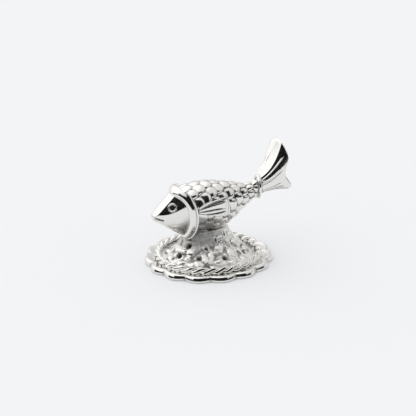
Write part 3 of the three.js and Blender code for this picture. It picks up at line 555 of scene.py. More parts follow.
def silver(name, finish, smoothest, dullest, wave, grain):
    """Silver with shade painted into its hollows and recesses, which are also duller, with a faint haze and
    the waves that polishing leaves.
    """
    if name in bpy.data.materials:
        return bpy.data.materials[name]
    material, tree = new_material(name)
    place = add_node(tree, "ShaderNodeTexCoord", output="Object")
    depth = add_node(tree, "ShaderNodeAttribute", output="Fac", attribute_name="hollow")
    # Painted shade: the colour darkens to the shade colour where the mark is full.
    shaded_colour = add_node(tree, "ShaderNodeMix",
                    {"Factor": depth, "A": (*finish.silver, 1), "B": (*finish.hollow, 1)}, "Result",
                    data_type="RGBA", clamp_factor=True)
    haze, waves, grains = (
        add_node(tree, "ShaderNodeTexNoise", {"Vector": place, "Scale": per_mm(size), "Detail": detail})
        for size, detail in ((HAZE_SIZE, 3.0), (WAVE_SIZE, 1.0), (GRAIN_SIZE, 2.0)))
    deep = add_node(tree, "ShaderNodeMath", {0: depth, 1: HOLLOW_DULLNESS}, operation="MULTIPLY")
    cover = add_node(tree, "ShaderNodeMath", {0: haze, 1: deep}, operation="MAXIMUM")
    least, most = HAZE_SPAN
    rough = add_node(tree, "ShaderNodeMapRange", {"Value": cover, "From Min": least, "From Max": most,
                                                  "To Min": smoothest, "To Max": dullest})
    soft = add_node(tree, "ShaderNodeBump",
                    {"Height": waves, "Strength": wave, "Distance": WAVE_HEIGHT * MM})
    fine = add_node(tree, "ShaderNodeBump",
                    {"Height": grains, "Strength": grain, "Distance": GRAIN_HEIGHT * MM, "Normal": soft})
    shader = add_node(tree, "ShaderNodeBsdfPrincipled",
                      {"Base Color": shaded_colour, "Metallic": 1.0, "Roughness": rough, "Normal": fine})
    add_node(tree, "ShaderNodeOutputMaterial", {"Surface": shader})
    return material


def polished_silver(finish):
    """Cast sterling silver, buffed on a wheel: a mirror with slight waves, and shade painted into its
    hollows.
    """
    return silver("Buffed sterling silver", finish, finish.gloss, dullest=0.2, wave=0.05, grain=0.03)


def tumbled_silver(finish):
    """Cast sterling silver, tumbled with steel shot: bright high spots over a duller cast ground."""
    return silver("Tumbled sterling silver", finish, finish.gloss * 1.3, dullest=0.28, wave=0.09, grain=0.06)


def cast_silver(finish):
    """Sand-cast sterling silver, only brushed: a grainy skin with bright high spots."""
    return silver("Brushed sand-cast silver", finish, smoothest=0.09, dullest=0.7, wave=0.12, grain=0.2)


def drawn_silver(finish):
    """Drawn silver wire as it leaves the plate, hidden inside and never polished."""
    return silver("Drawn silver wire", finish, smoothest=0.28, dullest=0.4, wave=0.05, grain=0.12)


# What a user would change

class IdolSizes(bpy.types.PropertyGroup):
    """Sizes of the idol's ornament."""
    scallops: bpy.props.IntProperty(
        name="Scallops", description="Lobes round the base", default=15, min=5)
    scallop_depth: bpy.props.FloatProperty(
        name="Scallop depth", description="How far the notches cut in", default=0.0008,
        unit="LENGTH", precision=5)
    rope_wire: bpy.props.FloatProperty(
        name="Rope wire", description="Diameter of each wire of the rope", default=0.00072,
        unit="LENGTH", precision=5)
    rope_twists: bpy.props.IntProperty(
        name="Rope twists", description="Full twists round the ring", default=15, min=3)
    scales_around: bpy.props.IntProperty(
        name="Scales around", description="Scales in the row behind the collar", default=13, min=5)
    scale_rows: bpy.props.IntProperty(
        name="Scale rows", description="Rows from the collar to the tail", default=9, min=3)
    scale_relief: bpy.props.FloatProperty(
        name="Scale relief", description="Height of the scales over the body's core", default=0.0005,
        unit="LENGTH", precision=5)
    pebbles: bpy.props.IntProperty(
        name="Pebbles", description="Lumps strewn over the mound", default=48, min=1)
    eye_diameter: bpy.props.FloatProperty(
        name="Eye ring", description="Outer diameter of the eye rings", default=0.00196,
        unit="LENGTH", precision=5)
    fin_slit_depth: bpy.props.FloatProperty(
        name="Fin slit depth", description="Depth of the slits in the pectoral fins", default=0.00034,
        unit="LENGTH", precision=5)


class IdolFinish(bpy.types.PropertyGroup):
    """Colours and polish of the idol and its stage."""
    silver: bpy.props.FloatVectorProperty(
        name="Silver", description="Colour of the polished silver", default=linear("#EAE9E6")[:3],
        subtype="COLOR", min=0, max=1)
    # The colour of the shade painted into hollows and recesses.
    hollow: bpy.props.FloatVectorProperty(
        name="Hollows", description="Colour of the silver in its hollows", default=linear("#4C4B49")[:3],
        subtype="COLOR", min=0, max=1)
    gloss: bpy.props.FloatProperty(
        name="Polish", description="Roughness of the best polished spots", default=0.07, min=0.02, max=0.5,
        subtype="FACTOR")
    floor: bpy.props.FloatVectorProperty(
        name="Floor", description="Colour of the paper that the idol stands on",
        default=linear("#EFF0F2")[:3], subtype="COLOR", min=0, max=1)


def mm(length):
    """A property's length in millimetres."""
    return length / MM


# Operators. Their numbers are in millimetres unless they say otherwise.

class IDOL_OT_stage(bpy.types.Operator):
    """Make the paper floor, the light tent and the camera"""
    bl_idname = "idol.stage"
    bl_label = "Stage"
    # The camera's azimuth, elevation and roll in degrees, its aim to the right and up, and its lens
    # and frame in pixels of the photo
    CAMERA_TURNS = (-18, 20, -1.4)
    AIM = (-0.09, 11.0)
    FOCAL_PIXELS = 1143
    FRAME_PIXELS = 416
    SENSOR_WIDTH = 36
    # Sizes of the stage in metres, and the number of the floor's sides
    CAMERA_DISTANCE = 0.25
    FLOOR_RADII = (0.15, 0.5, 2.5)
    FLOOR_SIDES = 96
    PAPER_TOOTH_SIZE = 0.6 * MM
    PAPER_TOOTH_HEIGHT = 0.02 * MM
    OPENING_FLOOR_RADII = (0.12, 0.35)
    OPENING_LIFT = 0.0008
    OPENING_REACH = 0.6
    # The tent's opening in degrees: its ends, where it is high, and its height there and beside
    OPENING_ENDS = (-110, 72)
    OPENING_HIGH = (-63, 32)
    OPENING_HEIGHTS = (43, 11)
    # The cloth's levels of light low and high, and the soft light's direction, edge and level
    CLOTH_LEVELS = (0.57, 0.83)
    CLOTH_HEIGHT = 0.6
    LIGHT_TOWARDS = (-0.6, 0.35, 0.72)
    LIGHT_EDGE = (0.3, 0.85)
    LIGHT_LEVEL = 0.5

    def execute(self, context):
        self.camera(context.scene)
        self.floor(context.scene.idol_finish)
        self.tent(context.scene)
        self.opening()
        context.scene.view_settings.view_transform = "Standard"
        return {"FINISHED"}

    def camera(self, scene):
        """A long lens, a little to the head's side and above."""
        azimuth, elevation, roll = (math.radians(turn) for turn in self.CAMERA_TURNS)
        back = Vector((math.sin(azimuth) * math.cos(elevation), -math.cos(azimuth) * math.cos(elevation),
                       math.sin(elevation)))
        level = Vector((math.cos(azimuth), math.sin(azimuth), 0))
        upright = back.cross(level)
        right = level * math.cos(roll) + upright * math.sin(roll)
        up = upright * math.cos(roll) - level * math.sin(roll)
        aim = (right * self.AIM[0] + up * self.AIM[1]) * MM
        lens = bpy.data.cameras.new("Camera")
        lens.sensor_width = self.SENSOR_WIDTH
        lens.lens = self.FOCAL_PIXELS / self.FRAME_PIXELS * self.SENSOR_WIDTH
        lens.clip_start = 0.01
        camera = bpy.data.objects.new("Camera", lens)
        axes = Matrix((right, up, back)).transposed().to_4x4()
        camera.matrix_world = Matrix.Translation(aim + back * self.CAMERA_DISTANCE) @ axes
        scene.collection.objects.link(camera)
        scene.camera = camera

    def floor(self, finish):
        """A wide sheet of white paper."""
        paper, tree = new_material("White card")
        place = add_node(tree, "ShaderNodeTexCoord", output="Object")
        tooth = add_node(tree, "ShaderNodeTexNoise", {"Vector": place, "Scale": 1 / self.PAPER_TOOTH_SIZE})
        bump = add_node(tree, "ShaderNodeBump", {"Height": tooth, "Strength": 0.02,
                                                 "Distance": self.PAPER_TOOTH_HEIGHT})
        shader = add_node(tree, "ShaderNodeBsdfDiffuse", {"Color": (*finish.floor, 1), "Normal": bump})
        add_node(tree, "ShaderNodeOutputMaterial", {"Surface": shader})
        sides = self.FLOOR_SIDES
        turn = full_turn(sides)
        rings = [np.stack([radius * np.cos(turn), radius * np.sin(turn), 0 * turn], axis=-1)
                 for radius in self.FLOOR_RADII]
        points = np.vstack(rings + [np.zeros((1, 3))])
        middle = len(points) - 1
        faces = band_faces(len(rings), sides).tolist() + [[middle, j, (j + 1) % sides] for j in range(sides)]
        obj = mesh_object("paper_floor", points, faces)
        obj.data.materials.append(paper)
        if obj.data.polygons[0].normal.z < 0:
            obj.data.flip_normals()

    def tent(self, scene):
        """White cloth all round with a large soft light on the left; the camera sees a plain backdrop."""
        world = bpy.data.worlds.new("Light tent")
        world.use_nodes = True
        tree = world.node_tree
        tree.nodes.clear()
        ray = add_node(tree, "ShaderNodeLightPath", output="Is Camera Ray")
        place = add_node(tree, "ShaderNodeTexCoord", output="Generated")
        height = add_node(tree, "ShaderNodeSeparateXYZ", {0: place}, "Z")
        low, high = self.CLOTH_LEVELS
        cloth = add_node(tree, "ShaderNodeMapRange", {"Value": height, "From Min": 0.0, "To Min": low,
                                                      "From Max": self.CLOTH_HEIGHT, "To Max": high})
        facing = add_node(tree, "ShaderNodeVectorMath", {0: place, 1: unit(np.array(self.LIGHT_TOWARDS))},
                          "Value", operation="DOT_PRODUCT")
        outer, inner = self.LIGHT_EDGE
        soft = add_node(tree, "ShaderNodeMapRange", {"Value": facing, "From Min": outer, "From Max": inner,
                                                     "To Min": 0.0, "To Max": self.LIGHT_LEVEL},
                        interpolation_type="SMOOTHSTEP")
        level = add_node(tree, "ShaderNodeMath", {0: cloth, 1: soft}, operation="ADD")
        tent = add_node(tree, "ShaderNodeBackground", {"Color": linear("#FFFFFF"), "Strength": level})
        wall = add_node(tree, "ShaderNodeBackground", {"Color": linear("#F1F2F4")})
        mixed = add_node(tree, "ShaderNodeMixShader", {0: ray, 1: tent, 2: wall})
        add_node(tree, "ShaderNodeOutputWorld", {"Surface": mixed})
        scene.world = world

    def opening(self):
        """The tent's dark opening on the camera's side, which the silver shows as black accents."""
        felt, tree = new_material("Black felt")
        shader = add_node(tree, "ShaderNodeBsdfDiffuse", {"Color": linear("#131314")})
        add_node(tree, "ShaderNodeOutputMaterial", {"Surface": shader})
        azimuth = np.linspace(*self.OPENING_ENDS, 92)
        turn = np.radians(azimuth)
        first, last = self.OPENING_HIGH
        crown = np.radians(np.where((azimuth > first) & (azimuth < last), *self.OPENING_HEIGHTS))

        def towards(rise):
            level = np.cos(rise)
            return np.stack([level * np.sin(turn), -level * np.cos(turn), np.sin(rise)], axis=-1)

        grid = [radius * towards(0 * turn) + [0, 0, self.OPENING_LIFT] for radius in self.OPENING_FLOOR_RADII]
        grid += [self.OPENING_REACH * towards(crown * share) for share in np.linspace(0.01, 1, 14)]
        index = np.arange(len(grid) * len(turn)).reshape(len(grid), len(turn))
        obj = mesh_object("tent_opening", np.array(grid), grid_faces(index))
        obj.data.materials.append(felt)
        obj.visible_camera = False
        obj.visible_diffuse = False
        obj.visible_shadow = False


class IDOL_OT_base_plate(bpy.types.Operator):
    """Make the scalloped plate with its rolled rim"""
    bl_idname = "idol.base_plate"
    bl_label = "Base plate"
    RADIUS = 14
    STEPS_PER_LOBE = 30
    NOTCH_DEGREES = 13.5
    # How blunt the notches are, and what that leaves of a lobe's height
    NOTCH_BLUNTNESS = 0.1
    LOBE_RANGE = 0.905
    # The rim's insets from the edge and heights, from the underside over the roll to the plate
    RIM = ((0.4, 0.0), (0.12, 0.05), (0.02, 0.16), (0.0, 0.3), (0.0, 0.5), (0.05, 0.66), (0.17, 1.0),
           (0.28, 1.18), (0.48, 1.32), (0.7, 1.35), (0.95, 1.3), (1.3, 1.19), (1.7, 1.09), (2.2, 1.04),
           (2.8, 1.02))
    UNDERSIDE_END = (2.0, 0.0)
    PLATE_END = (3.6, 1.02)
    # Over a height the rim sinks in the notches to a share of the rest, but little inside the roll
    SINK_HEIGHT = 0.78
    SINK_SHARE = 0.8
    ROLL_INSET = 1.3
    PLATE_SINK = 0.06

    def execute(self, context):
        sizes = context.scene.idol_sizes
        notch = math.radians(self.NOTCH_DEGREES)
        turn = notch + full_turn(sizes.scallops * self.STEPS_PER_LOBE)
        lobe = np.hypot(np.sin(sizes.scallops * (turn - notch) / 2), self.NOTCH_BLUNTNESS)
        lobe = (lobe - self.NOTCH_BLUNTNESS) / self.LOBE_RANGE
        edge = self.RADIUS - mm(sizes.scallop_depth) * (1 - lobe)
        rings = []
        rim = smooth_path(self.RIM, samples=70)
        for inset, height in (self.UNDERSIDE_END, *rim, self.PLATE_END):
            top = height - max(height - self.SINK_HEIGHT, 0) * (1 - self.SINK_SHARE) * (1 - lobe)
            if inset > self.ROLL_INSET:
                top = np.maximum(top, height - self.PLATE_SINK)
            reach = edge - inset
            rings.append(np.stack([reach * np.cos(turn), reach * np.sin(turn), top], axis=-1))
        plate = lofted("scalloped_plate", np.array(rings))
        finish_piece(plate, polished_silver(context.scene.idol_finish), "base_plate",
                     full_shade_depth=0.2)
        return {"FINISHED"}


class IDOL_OT_rope_ring(bpy.types.Operator):
    """Make the rope border of twisted wires"""
    bl_idname = "idol.rope_ring"
    bl_label = "Rope border"
    WIRE_SWELL = 1.06
    # The worn side leans up by some degrees, and starts at a reach from the rope's middle
    WORN_DEGREES = 18
    WORN_FROM = 0.34
    WORN_SHARE = 0.7

    def execute(self, context):
        sizes = context.scene.idol_sizes
        material = polished_silver(context.scene.idol_finish)
        wire = mm(sizes.rope_wire)
        height = PLATE_TOP + SOLDER_GAP + wire
        rope = mesh_object("twisted_rope_border", np.zeros((1, 3)), [])
        run_tree(rope, rope_tree(), {
            "Ring radius": ROPE_RING_RADIUS, "Ring height": height, "Wire diameter": wire * self.WIRE_SWELL,
            "Twists": sizes.rope_twists, "Wires": 2, "Steps per twist": 40, "Section steps": 18,
            "Material": material})
        plain_mesh(rope)
        self.wear(rope.data, height)
        finish_piece(rope, material, "rope_ring", full_shade_depth=0.2)
        return {"FINISHED"}

    def wear(self, mesh, height):
        """Flattens the strands a little on the side that hands and polishing cloths reach."""
        points = read_vertices(mesh)
        radius = np.linalg.norm(points[:, :2], axis=1)
        lean = math.radians(self.WORN_DEGREES)
        reach = (radius - ROPE_RING_RADIUS) * math.cos(lean) + (points[:, 2] - height) * math.sin(lean)
        worn = self.WORN_SHARE * np.maximum(reach - self.WORN_FROM, 0)
        points[:, :2] *= (1 - worn * math.cos(lean) / radius)[:, None]
        points[:, 2] -= worn * math.sin(lean)
        move_vertices(mesh, points)


class IDOL_OT_mound(bpy.types.Operator):
    """Make the pebbled mound that carries the fish"""
    bl_idname = "idol.mound"
    bl_label = "Pebbled mound"
    FOOT = PLATE_TOP + SOLDER_GAP
    FOOT_SINK = 0.04
    WAIST = NECK_MIDDLE + 1.6
    CROWN_SHARES = (0.6, 0.6, 1)
    # The slope from foot to waist, along the fish and across it
    LENGTHWISE = curve_table([(MOUND_FOOT_RADIUS, FOOT), (8.4, FOOT + 0.3), (6.9, FOOT + 2), (4.4, WAIST)])
    CROSSWISE = curve_table([(MOUND_FOOT_RADIUS, FOOT), (4.8, FOOT + 0.3), (4.0, FOOT + 2), (3.0, WAIST)])
    # Steps that strew the pebbles' turns, heights, sizes and spins evenly
    SPREADS = (0.7548776662, 0.5698402910, 0.3819660113, 0.6180339887)
    PEBBLED_FROM = 0.1
    PEBBLED_SHARE = 0.62
    PEBBLE_THINNING = 0.75
    PEBBLE_LEAST = (0.85, 1.2, 0.37)
    PEBBLE_SPAN = (0.8, 1.3, 0.35)
    PEBBLE_FOOT_SHARE = 0.5
    PEBBLE_GROWN = 0.25
    # The casting's lumps and grains: the height and size, and the share of the height on the neck
    UNEVENNESS = ((0.34, 1.5, 0.3), (0.05, 0.6, 1.6))
    ROUGH_FROM = (1.1, 1.7)
    NECK_FROM = (3.0, 4.5)
    # Painted shade on the neck's front, which is also duller: how strong it is, the heights where it starts
    # and the places where it ends
    NECK_SHADE_AND_DULLNESS = 0.3
    NECK_SHADE_FROM = (3.5, 4.6)
    NECK_SHADE_TO = (-0.2, 1.6)
    # Pits between the pebbles: degrees round the mound, and the share of the way up
    PITS = ((-161, 0.35), (-145, 0.65), (-121, 0.43), (-76, 0.41), (-32, 0.29), (25, 0.38), (70, 0.45),
            (115, 0.36), (155, 0.52))
    PIT_DEPTH = 0.55
    PIT_EDGE = (0.25, 0.72)
    PIT_REACH = 1.5

    def execute(self, context):
        finish = context.scene.idol_finish
        material = cast_silver(finish)
        rings = self.place(np.linspace(0, 1, 70)[:, None], full_turn(170)[None, :])
        foot = rings[:1] - [0, 0, self.FOOT_SINK]
        crown = rings[-1:] * self.CROWN_SHARES
        core = lofted("pebbled_mound", np.concatenate([foot, rings, crown]))
        places = self.places(context.scene.idol_sizes.pebbles)
        pebble = self.pebble()
        run_tree(core, coat_tree(), {"Places": places, "Shape": pebble, "Roundness": 2, "Material": material})
        fuse(core, voxel=0.103, passes=4)
        self.roughen(core.data)
        finish_piece(core, material, "pebble_mound", self.shade_and_dullness, full_shade_depth=0.15)
        discard(places, pebble)
        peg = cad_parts["support_peg"]
        peg.data.materials.clear()
        peg.data.materials.append(drawn_silver(finish))
        return {"FINISHED"}

    def place(self, share, turn):
        """A spot on the bare mound, a share of the way up its slope."""
        (reach, rise), (side_reach, side_rise) = (
            [np.interp(share * length[-1], length, values) for values in (out, up)]
            for length, out, up in (self.LENGTHWISE, self.CROSSWISE))
        return np.stack([reach * np.cos(turn), side_reach * np.sin(turn),
                         lerp(rise, side_rise, np.sin(turn) ** 2)], axis=-1)

    def frame_at(self, share, turn, step=0.01):
        """A spot on the mound with the directions up its slope, round it and outwards."""
        along = unit(self.place(share + step, turn) - self.place(share - step, turn))
        around = unit(self.place(share, turn + step) - self.place(share, turn - step))
        return self.place(share, turn), along, around, np.cross(around, along)

    def places(self, count):
        """Points for the pebbles, with the directions and size of each; they lie thinner higher up."""
        turn, climb, size, spin = (np.arange(1, count + 1) * step % 1 for step in self.SPREADS)
        climb = 2 * (1 - np.sqrt(1 - self.PEBBLE_THINNING * climb)) * self.PEBBLED_SHARE
        spot, along, around, out = self.frame_at(self.PEBBLED_FROM + climb, 2 * np.pi * turn)
        size = size[:, None] * self.PEBBLE_SPAN + self.PEBBLE_LEAST
        grown = np.clip(climb / self.PEBBLE_GROWN, 0, 1)[:, None]
        size = size * lerp(self.PEBBLE_FOOT_SHARE, 1, grown)
        spin = 2 * np.pi * spin[:, None]
        return place_points("pebble_places", spot, out, along * np.cos(spin) + around * np.sin(spin), size)

    def in_pits(self, points):
        """Each pit's direction, and how far points lie in it, from 0 at its rim to 1 in its middle."""
        turn, share = np.array(self.PITS).T
        spots, _, _, outs = self.frame_at(share, np.radians(turn))
        for spot, out in zip(spots, outs):
            deep, reach = off_axis(points, spot, out)
            yield out, (1 - smoothstep(reach, *self.PIT_EDGE)) * (np.abs(deep) < self.PIT_REACH)

    def roughen(self, mesh):
        """The uneven skin of a sand casting, quiet near the rope and grainier on the neck, and its pits."""
        points = read_vertices(mesh)
        neck = smoothstep(points[:, 2], *self.NECK_FROM)
        rise = 0
        for height, size, neck_share in self.UNEVENNESS:
            uneven = np.array([height * noise.noise(point / size) for point in map(Vector, points)])
            rise = rise + uneven * lerp(1, neck_share, neck)
        rise = rise * smoothstep(points[:, 2], *self.ROUGH_FROM)
        moved = points + read_vertices(mesh, "normal") * rise[:, None]
        for out, inside in self.in_pits(points):
            moved -= self.PIT_DEPTH * inside[:, None] * out
        move_vertices(mesh, moved)

    def shade_and_dullness(self, points):
        """Painted shade, with duller polish: on the neck's front under the fish, and in the pits."""
        neck = smoothstep(points[:, 2], *self.NECK_SHADE_FROM) * (1 - smoothstep(points[:, 0], *self.NECK_SHADE_TO))
        return np.max([self.NECK_SHADE_AND_DULLNESS * neck, *(inside for _, inside in self.in_pits(points))], axis=0)

    def pebble(self):
        """An uneven stone of about unit radius."""
        stone = bmesh.new()
        bmesh.ops.create_icosphere(stone, subdivisions=1, radius=1.04)
        for vertex in stone.verts:
            x, y, z = vertex.co
            vertex.co *= 1 + 0.2 * math.sin(3 * x + 1) * math.cos(2.5 * y) + 0.12 * math.sin(4 * z + 2 * x)
        mesh = bpy.data.meshes.new("pebble")
        stone.to_mesh(mesh)
        stone.free()
        return linked("pebble", mesh)


class IDOL_OT_head(bpy.types.Operator):
    """Make the head with its mouth and the dips for the eyes"""
    bl_idname = "idol.head"
    bl_label = "Head"
    UNDER_COLLAR = 0.5
    # The share of its girth that the head keeps at its closed end inside the collar
    NECK_SHARE = 0.7
    # How the rings crowd towards the snout, and the shares of its girth at the rings of its tip
    RING_CROWDING = 1.25
    TIP_SHARES = (0.06, 0.97)
    SNOUT_DOME = 0.14
    MOUTH_RISE = 0.14
    MOUTH_DROP = math.tan(math.radians(17))
    MOUTH_DEPTH = 0.42
    MOUTH_EDGE = (0.05, 0.17)
    MOUTH_CORNER = (1.75, 2.1)
    LIP_PLACE = -0.32
    LIP_WIDTH = 0.16
    LIP_HEIGHT = 0.07
    EYE_DIP = 0.2
    EYE_EDGE = (0.7, 1.02)
    EYE_REACH = 1.2
    # The shade painted into the throat's recess, which is also duller: how strong it is, the angles where it
    # starts, in radians from straight up, and its near and far end before the collar, with what the far end
    # gains under the chin
    THROAT_SHADE_AND_DULLNESS = 0.6
    THROAT_FROM = (1.3, 2.3)
    THROAT_NEAR = 0.2
    THROAT_FAR = 1.0
    THROAT_GAIN = 1.2

    def execute(self, context):
        angles = even_angles(320, station=3.0, surface=head_skin)
        rear = collar_front(angles) + self.UNDER_COLLAR
        shares = np.linspace(0, 1, 170)[:, None] ** self.RING_CROWDING
        rings = head_skin(shares * rear[None, :], angles[None, :])
        nose = spine_point(np.array(0.0))
        tip = [nose + share * (rings[0] - nose) - [self.SNOUT_DOME * (1 - share ** 2), 0, 0]
               for share in np.linspace(*self.TIP_SHARES, 16)]
        inside = lerp(spine_point(rear), rings[-1], self.NECK_SHARE)
        head = lofted("fish_head_cast", self.carve(np.concatenate([np.array(tip), rings, inside[None]])))
        material = polished_silver(context.scene.idol_finish)
        # The throat's recess gets painted shade.
        finish_piece(head, material, "fish_head", self.throat)
        return {"FINISHED"}

    def throat(self, points):
        """Shade painted into the recess before the collar, which is also duller, widest under the chin."""
        angle = np.arctan2(np.abs(points[:, 1]), points[:, 2] - SPINE_Z[0])
        gap = collar_front(angle) - (points[:, 0] - SPINE_X[0])
        low = smoothstep(angle, *self.THROAT_FROM)
        far = self.THROAT_FAR + self.THROAT_GAIN * low
        return self.THROAT_SHADE_AND_DULLNESS * low * (1 - smoothstep(gap, self.THROAT_NEAR, far))

    def carve(self, rings):
        """Saws the mouth and presses the dips for the eyes."""
        along = np.gradient(rings, axis=0)
        around = np.roll(rings, -1, axis=1) - np.roll(rings, 1, axis=1)
        normal = unit(np.cross(around, along))
        middle = rings.mean(axis=1, keepdims=True)
        normal = np.where(np.sum(normal * (rings - middle), -1, keepdims=True) < 0, -normal, normal)
        behind = rings[..., 0] - SPINE_X[0]
        off = rings[..., 2] - (SPINE_Z[0] + self.MOUTH_RISE - self.MOUTH_DROP * behind)
        slit = self.MOUTH_DEPTH * (1 - smoothstep(np.abs(off), *self.MOUTH_EDGE))
        lip = self.LIP_HEIGHT * ridge(off, self.LIP_PLACE, self.LIP_WIDTH)
        ends = 1 - smoothstep(behind, *self.MOUTH_CORNER)
        carved = rings + normal * ((lip - slit) * ends)[..., None]
        for side in (1, -1):
            centre, out = eye_frame(side)
            deep, reach = off_axis(rings, centre, out)
            dip = self.EYE_DIP * (1 - smoothstep(reach, *self.EYE_EDGE)) * (np.abs(deep) < self.EYE_REACH)
            carved = carved - out * dip[..., None]
        return carved


class IDOL_OT_eyes(bpy.types.Operator):
    """Make the wire rings and beads of both eyes"""
    bl_idname = "idol.eyes"
    bl_label = "Eyes"
    WIRE_RADIUS = 0.17
    WIRE_RISE = 0.02
    # A bead's overlap with its wire, and the heights of its foot, edge and dome
    OVERLAP = 0.04
    BEAD_FOOT = -0.3
    BEAD_EDGE = -0.12
    BEAD_DOME = 0.07

    def execute(self, context):
        wire = self.WIRE_RADIUS
        outer = mm(context.scene.idol_sizes.eye_diameter) / 2
        material = polished_silver(context.scene.idol_finish)
        turn = full_turn(72)
        around = full_turn(24)
        reach = outer - wire + wire * np.cos(around)
        rise = wire * np.sin(around) + self.WIRE_RISE
        bead = outer - 2 * wire + self.OVERLAP
        dome = [(bead * math.cos(a), self.BEAD_DOME * math.sin(a) + self.BEAD_EDGE)
                for a in np.linspace(0, np.pi / 2 * 0.97, 16)]
        for side, label in ((1, "left"), (-1, "right")):
            centre, out = eye_frame(side)
            level = unit(np.cross(out, [0, 0, 1]))
            spoke = np.cos(turn)[:, None] * level + np.sin(turn)[:, None] * np.cross(level, out)
            ring = centre + spoke[:, None, :] * reach[None, :, None] + out * rise[None, :, None]
            rows = np.array([centre + spoke * r + out * z for r, z in [(bead, self.BEAD_FOOT), *dome]])
            ring = ring_lofted(label + "_eye_wire", ring)
            finish_piece(ring, material, label + "_eye_ring")
            pupil = lofted(label + "_eye_pupil", rows)
            finish_piece(pupil, material, label + "_eye_bead")
        return {"FINISHED"}


class IDOL_OT_gill_collar(bpy.types.Operator):
    """Make the gill collar with its two raised edges"""
    bl_idname = "idol.gill_collar"
    bl_label = "Gill collar"
    # The band's section: places from its front edge at -1 to its rear at 1, and heights over the fish
    SECTION = ((-1.0, -1.3), (-1.0, -0.6), (-1.0, -0.2), (-0.95, 0.1), (-0.8, 0.33), (-0.5, 0.45),
               (-0.15, 0.44), (0.2, 0.4), (0.5, 0.42), (0.7, 0.44), (0.86, 0.38), (0.96, 0.2), (1.0, -0.1),
               (1.0, -0.6), (1.0, -1.3))
    # The groove beside the back and the rail along the rear edge; on the back both swell to one roll
    GROOVE_DEPTHS = (0.3, 0.75)
    GROOVE_MIDDLE = 0.05
    GROOVE_HALVES = (0.02, 0.52)
    GROOVE_SQUARENESS = 6
    GROOVE_OVER = 0.3
    RAIL_RADII = (0.34, 0.2)
    RAIL_MIDDLE = 0.68
    ROLL_HEIGHT = 0.9
    ROLL_MIDDLE = 0.02
    ROLL_POWER = 5
    # Degrees from the back where the groove starts and ends, and where the rail thins
    GROOVE_STARTS = (34, 40)
    GROOVE_ENDS = (48, 86)
    RAIL_THINS = (40, 95)

    def execute(self, context):
        along, out = smooth_path(self.SECTION, samples=110).T[:, None, :]
        angles = even_angles(320, station=7.0)[:, None]
        turned = np.degrees(from_back(angles))
        wedge = smoothstep(turned, *self.GROOVE_STARTS) * (1 - smoothstep(turned, *self.GROOVE_ENDS))
        half = lerp(*self.GROOVE_HALVES, wedge)
        groove = np.exp(-((along - self.GROOVE_MIDDLE) / half) ** self.GROOVE_SQUARENESS)
        groove = lerp(*self.GROOVE_DEPTHS, wedge) * (wedge > 0) * groove * (out > self.GROOVE_OVER)
        bead = lerp(*self.RAIL_RADII, smoothstep(turned, *self.RAIL_THINS))
        rail = bead * arch((along - self.RAIL_MIDDLE) / bead)
        top = np.clip(np.cos(angles), 0, 1) ** self.ROLL_POWER
        roll = self.ROLL_HEIGHT * top * arch(along - self.ROLL_MIDDLE)
        rise = np.where(out > 0, np.maximum(out - groove + rail * (1 - top), out * (1 - top) + roll), out)
        station = lerp(collar_front(angles), collar_station(angles) + COLLAR_HALF, (along + 1) / 2)
        collar = ring_lofted("gill_collar_band", skin(station, angles, rise))
        finish_piece(collar, polished_silver(context.scene.idol_finish), "gill_collar")
        return {"FINISHED"}


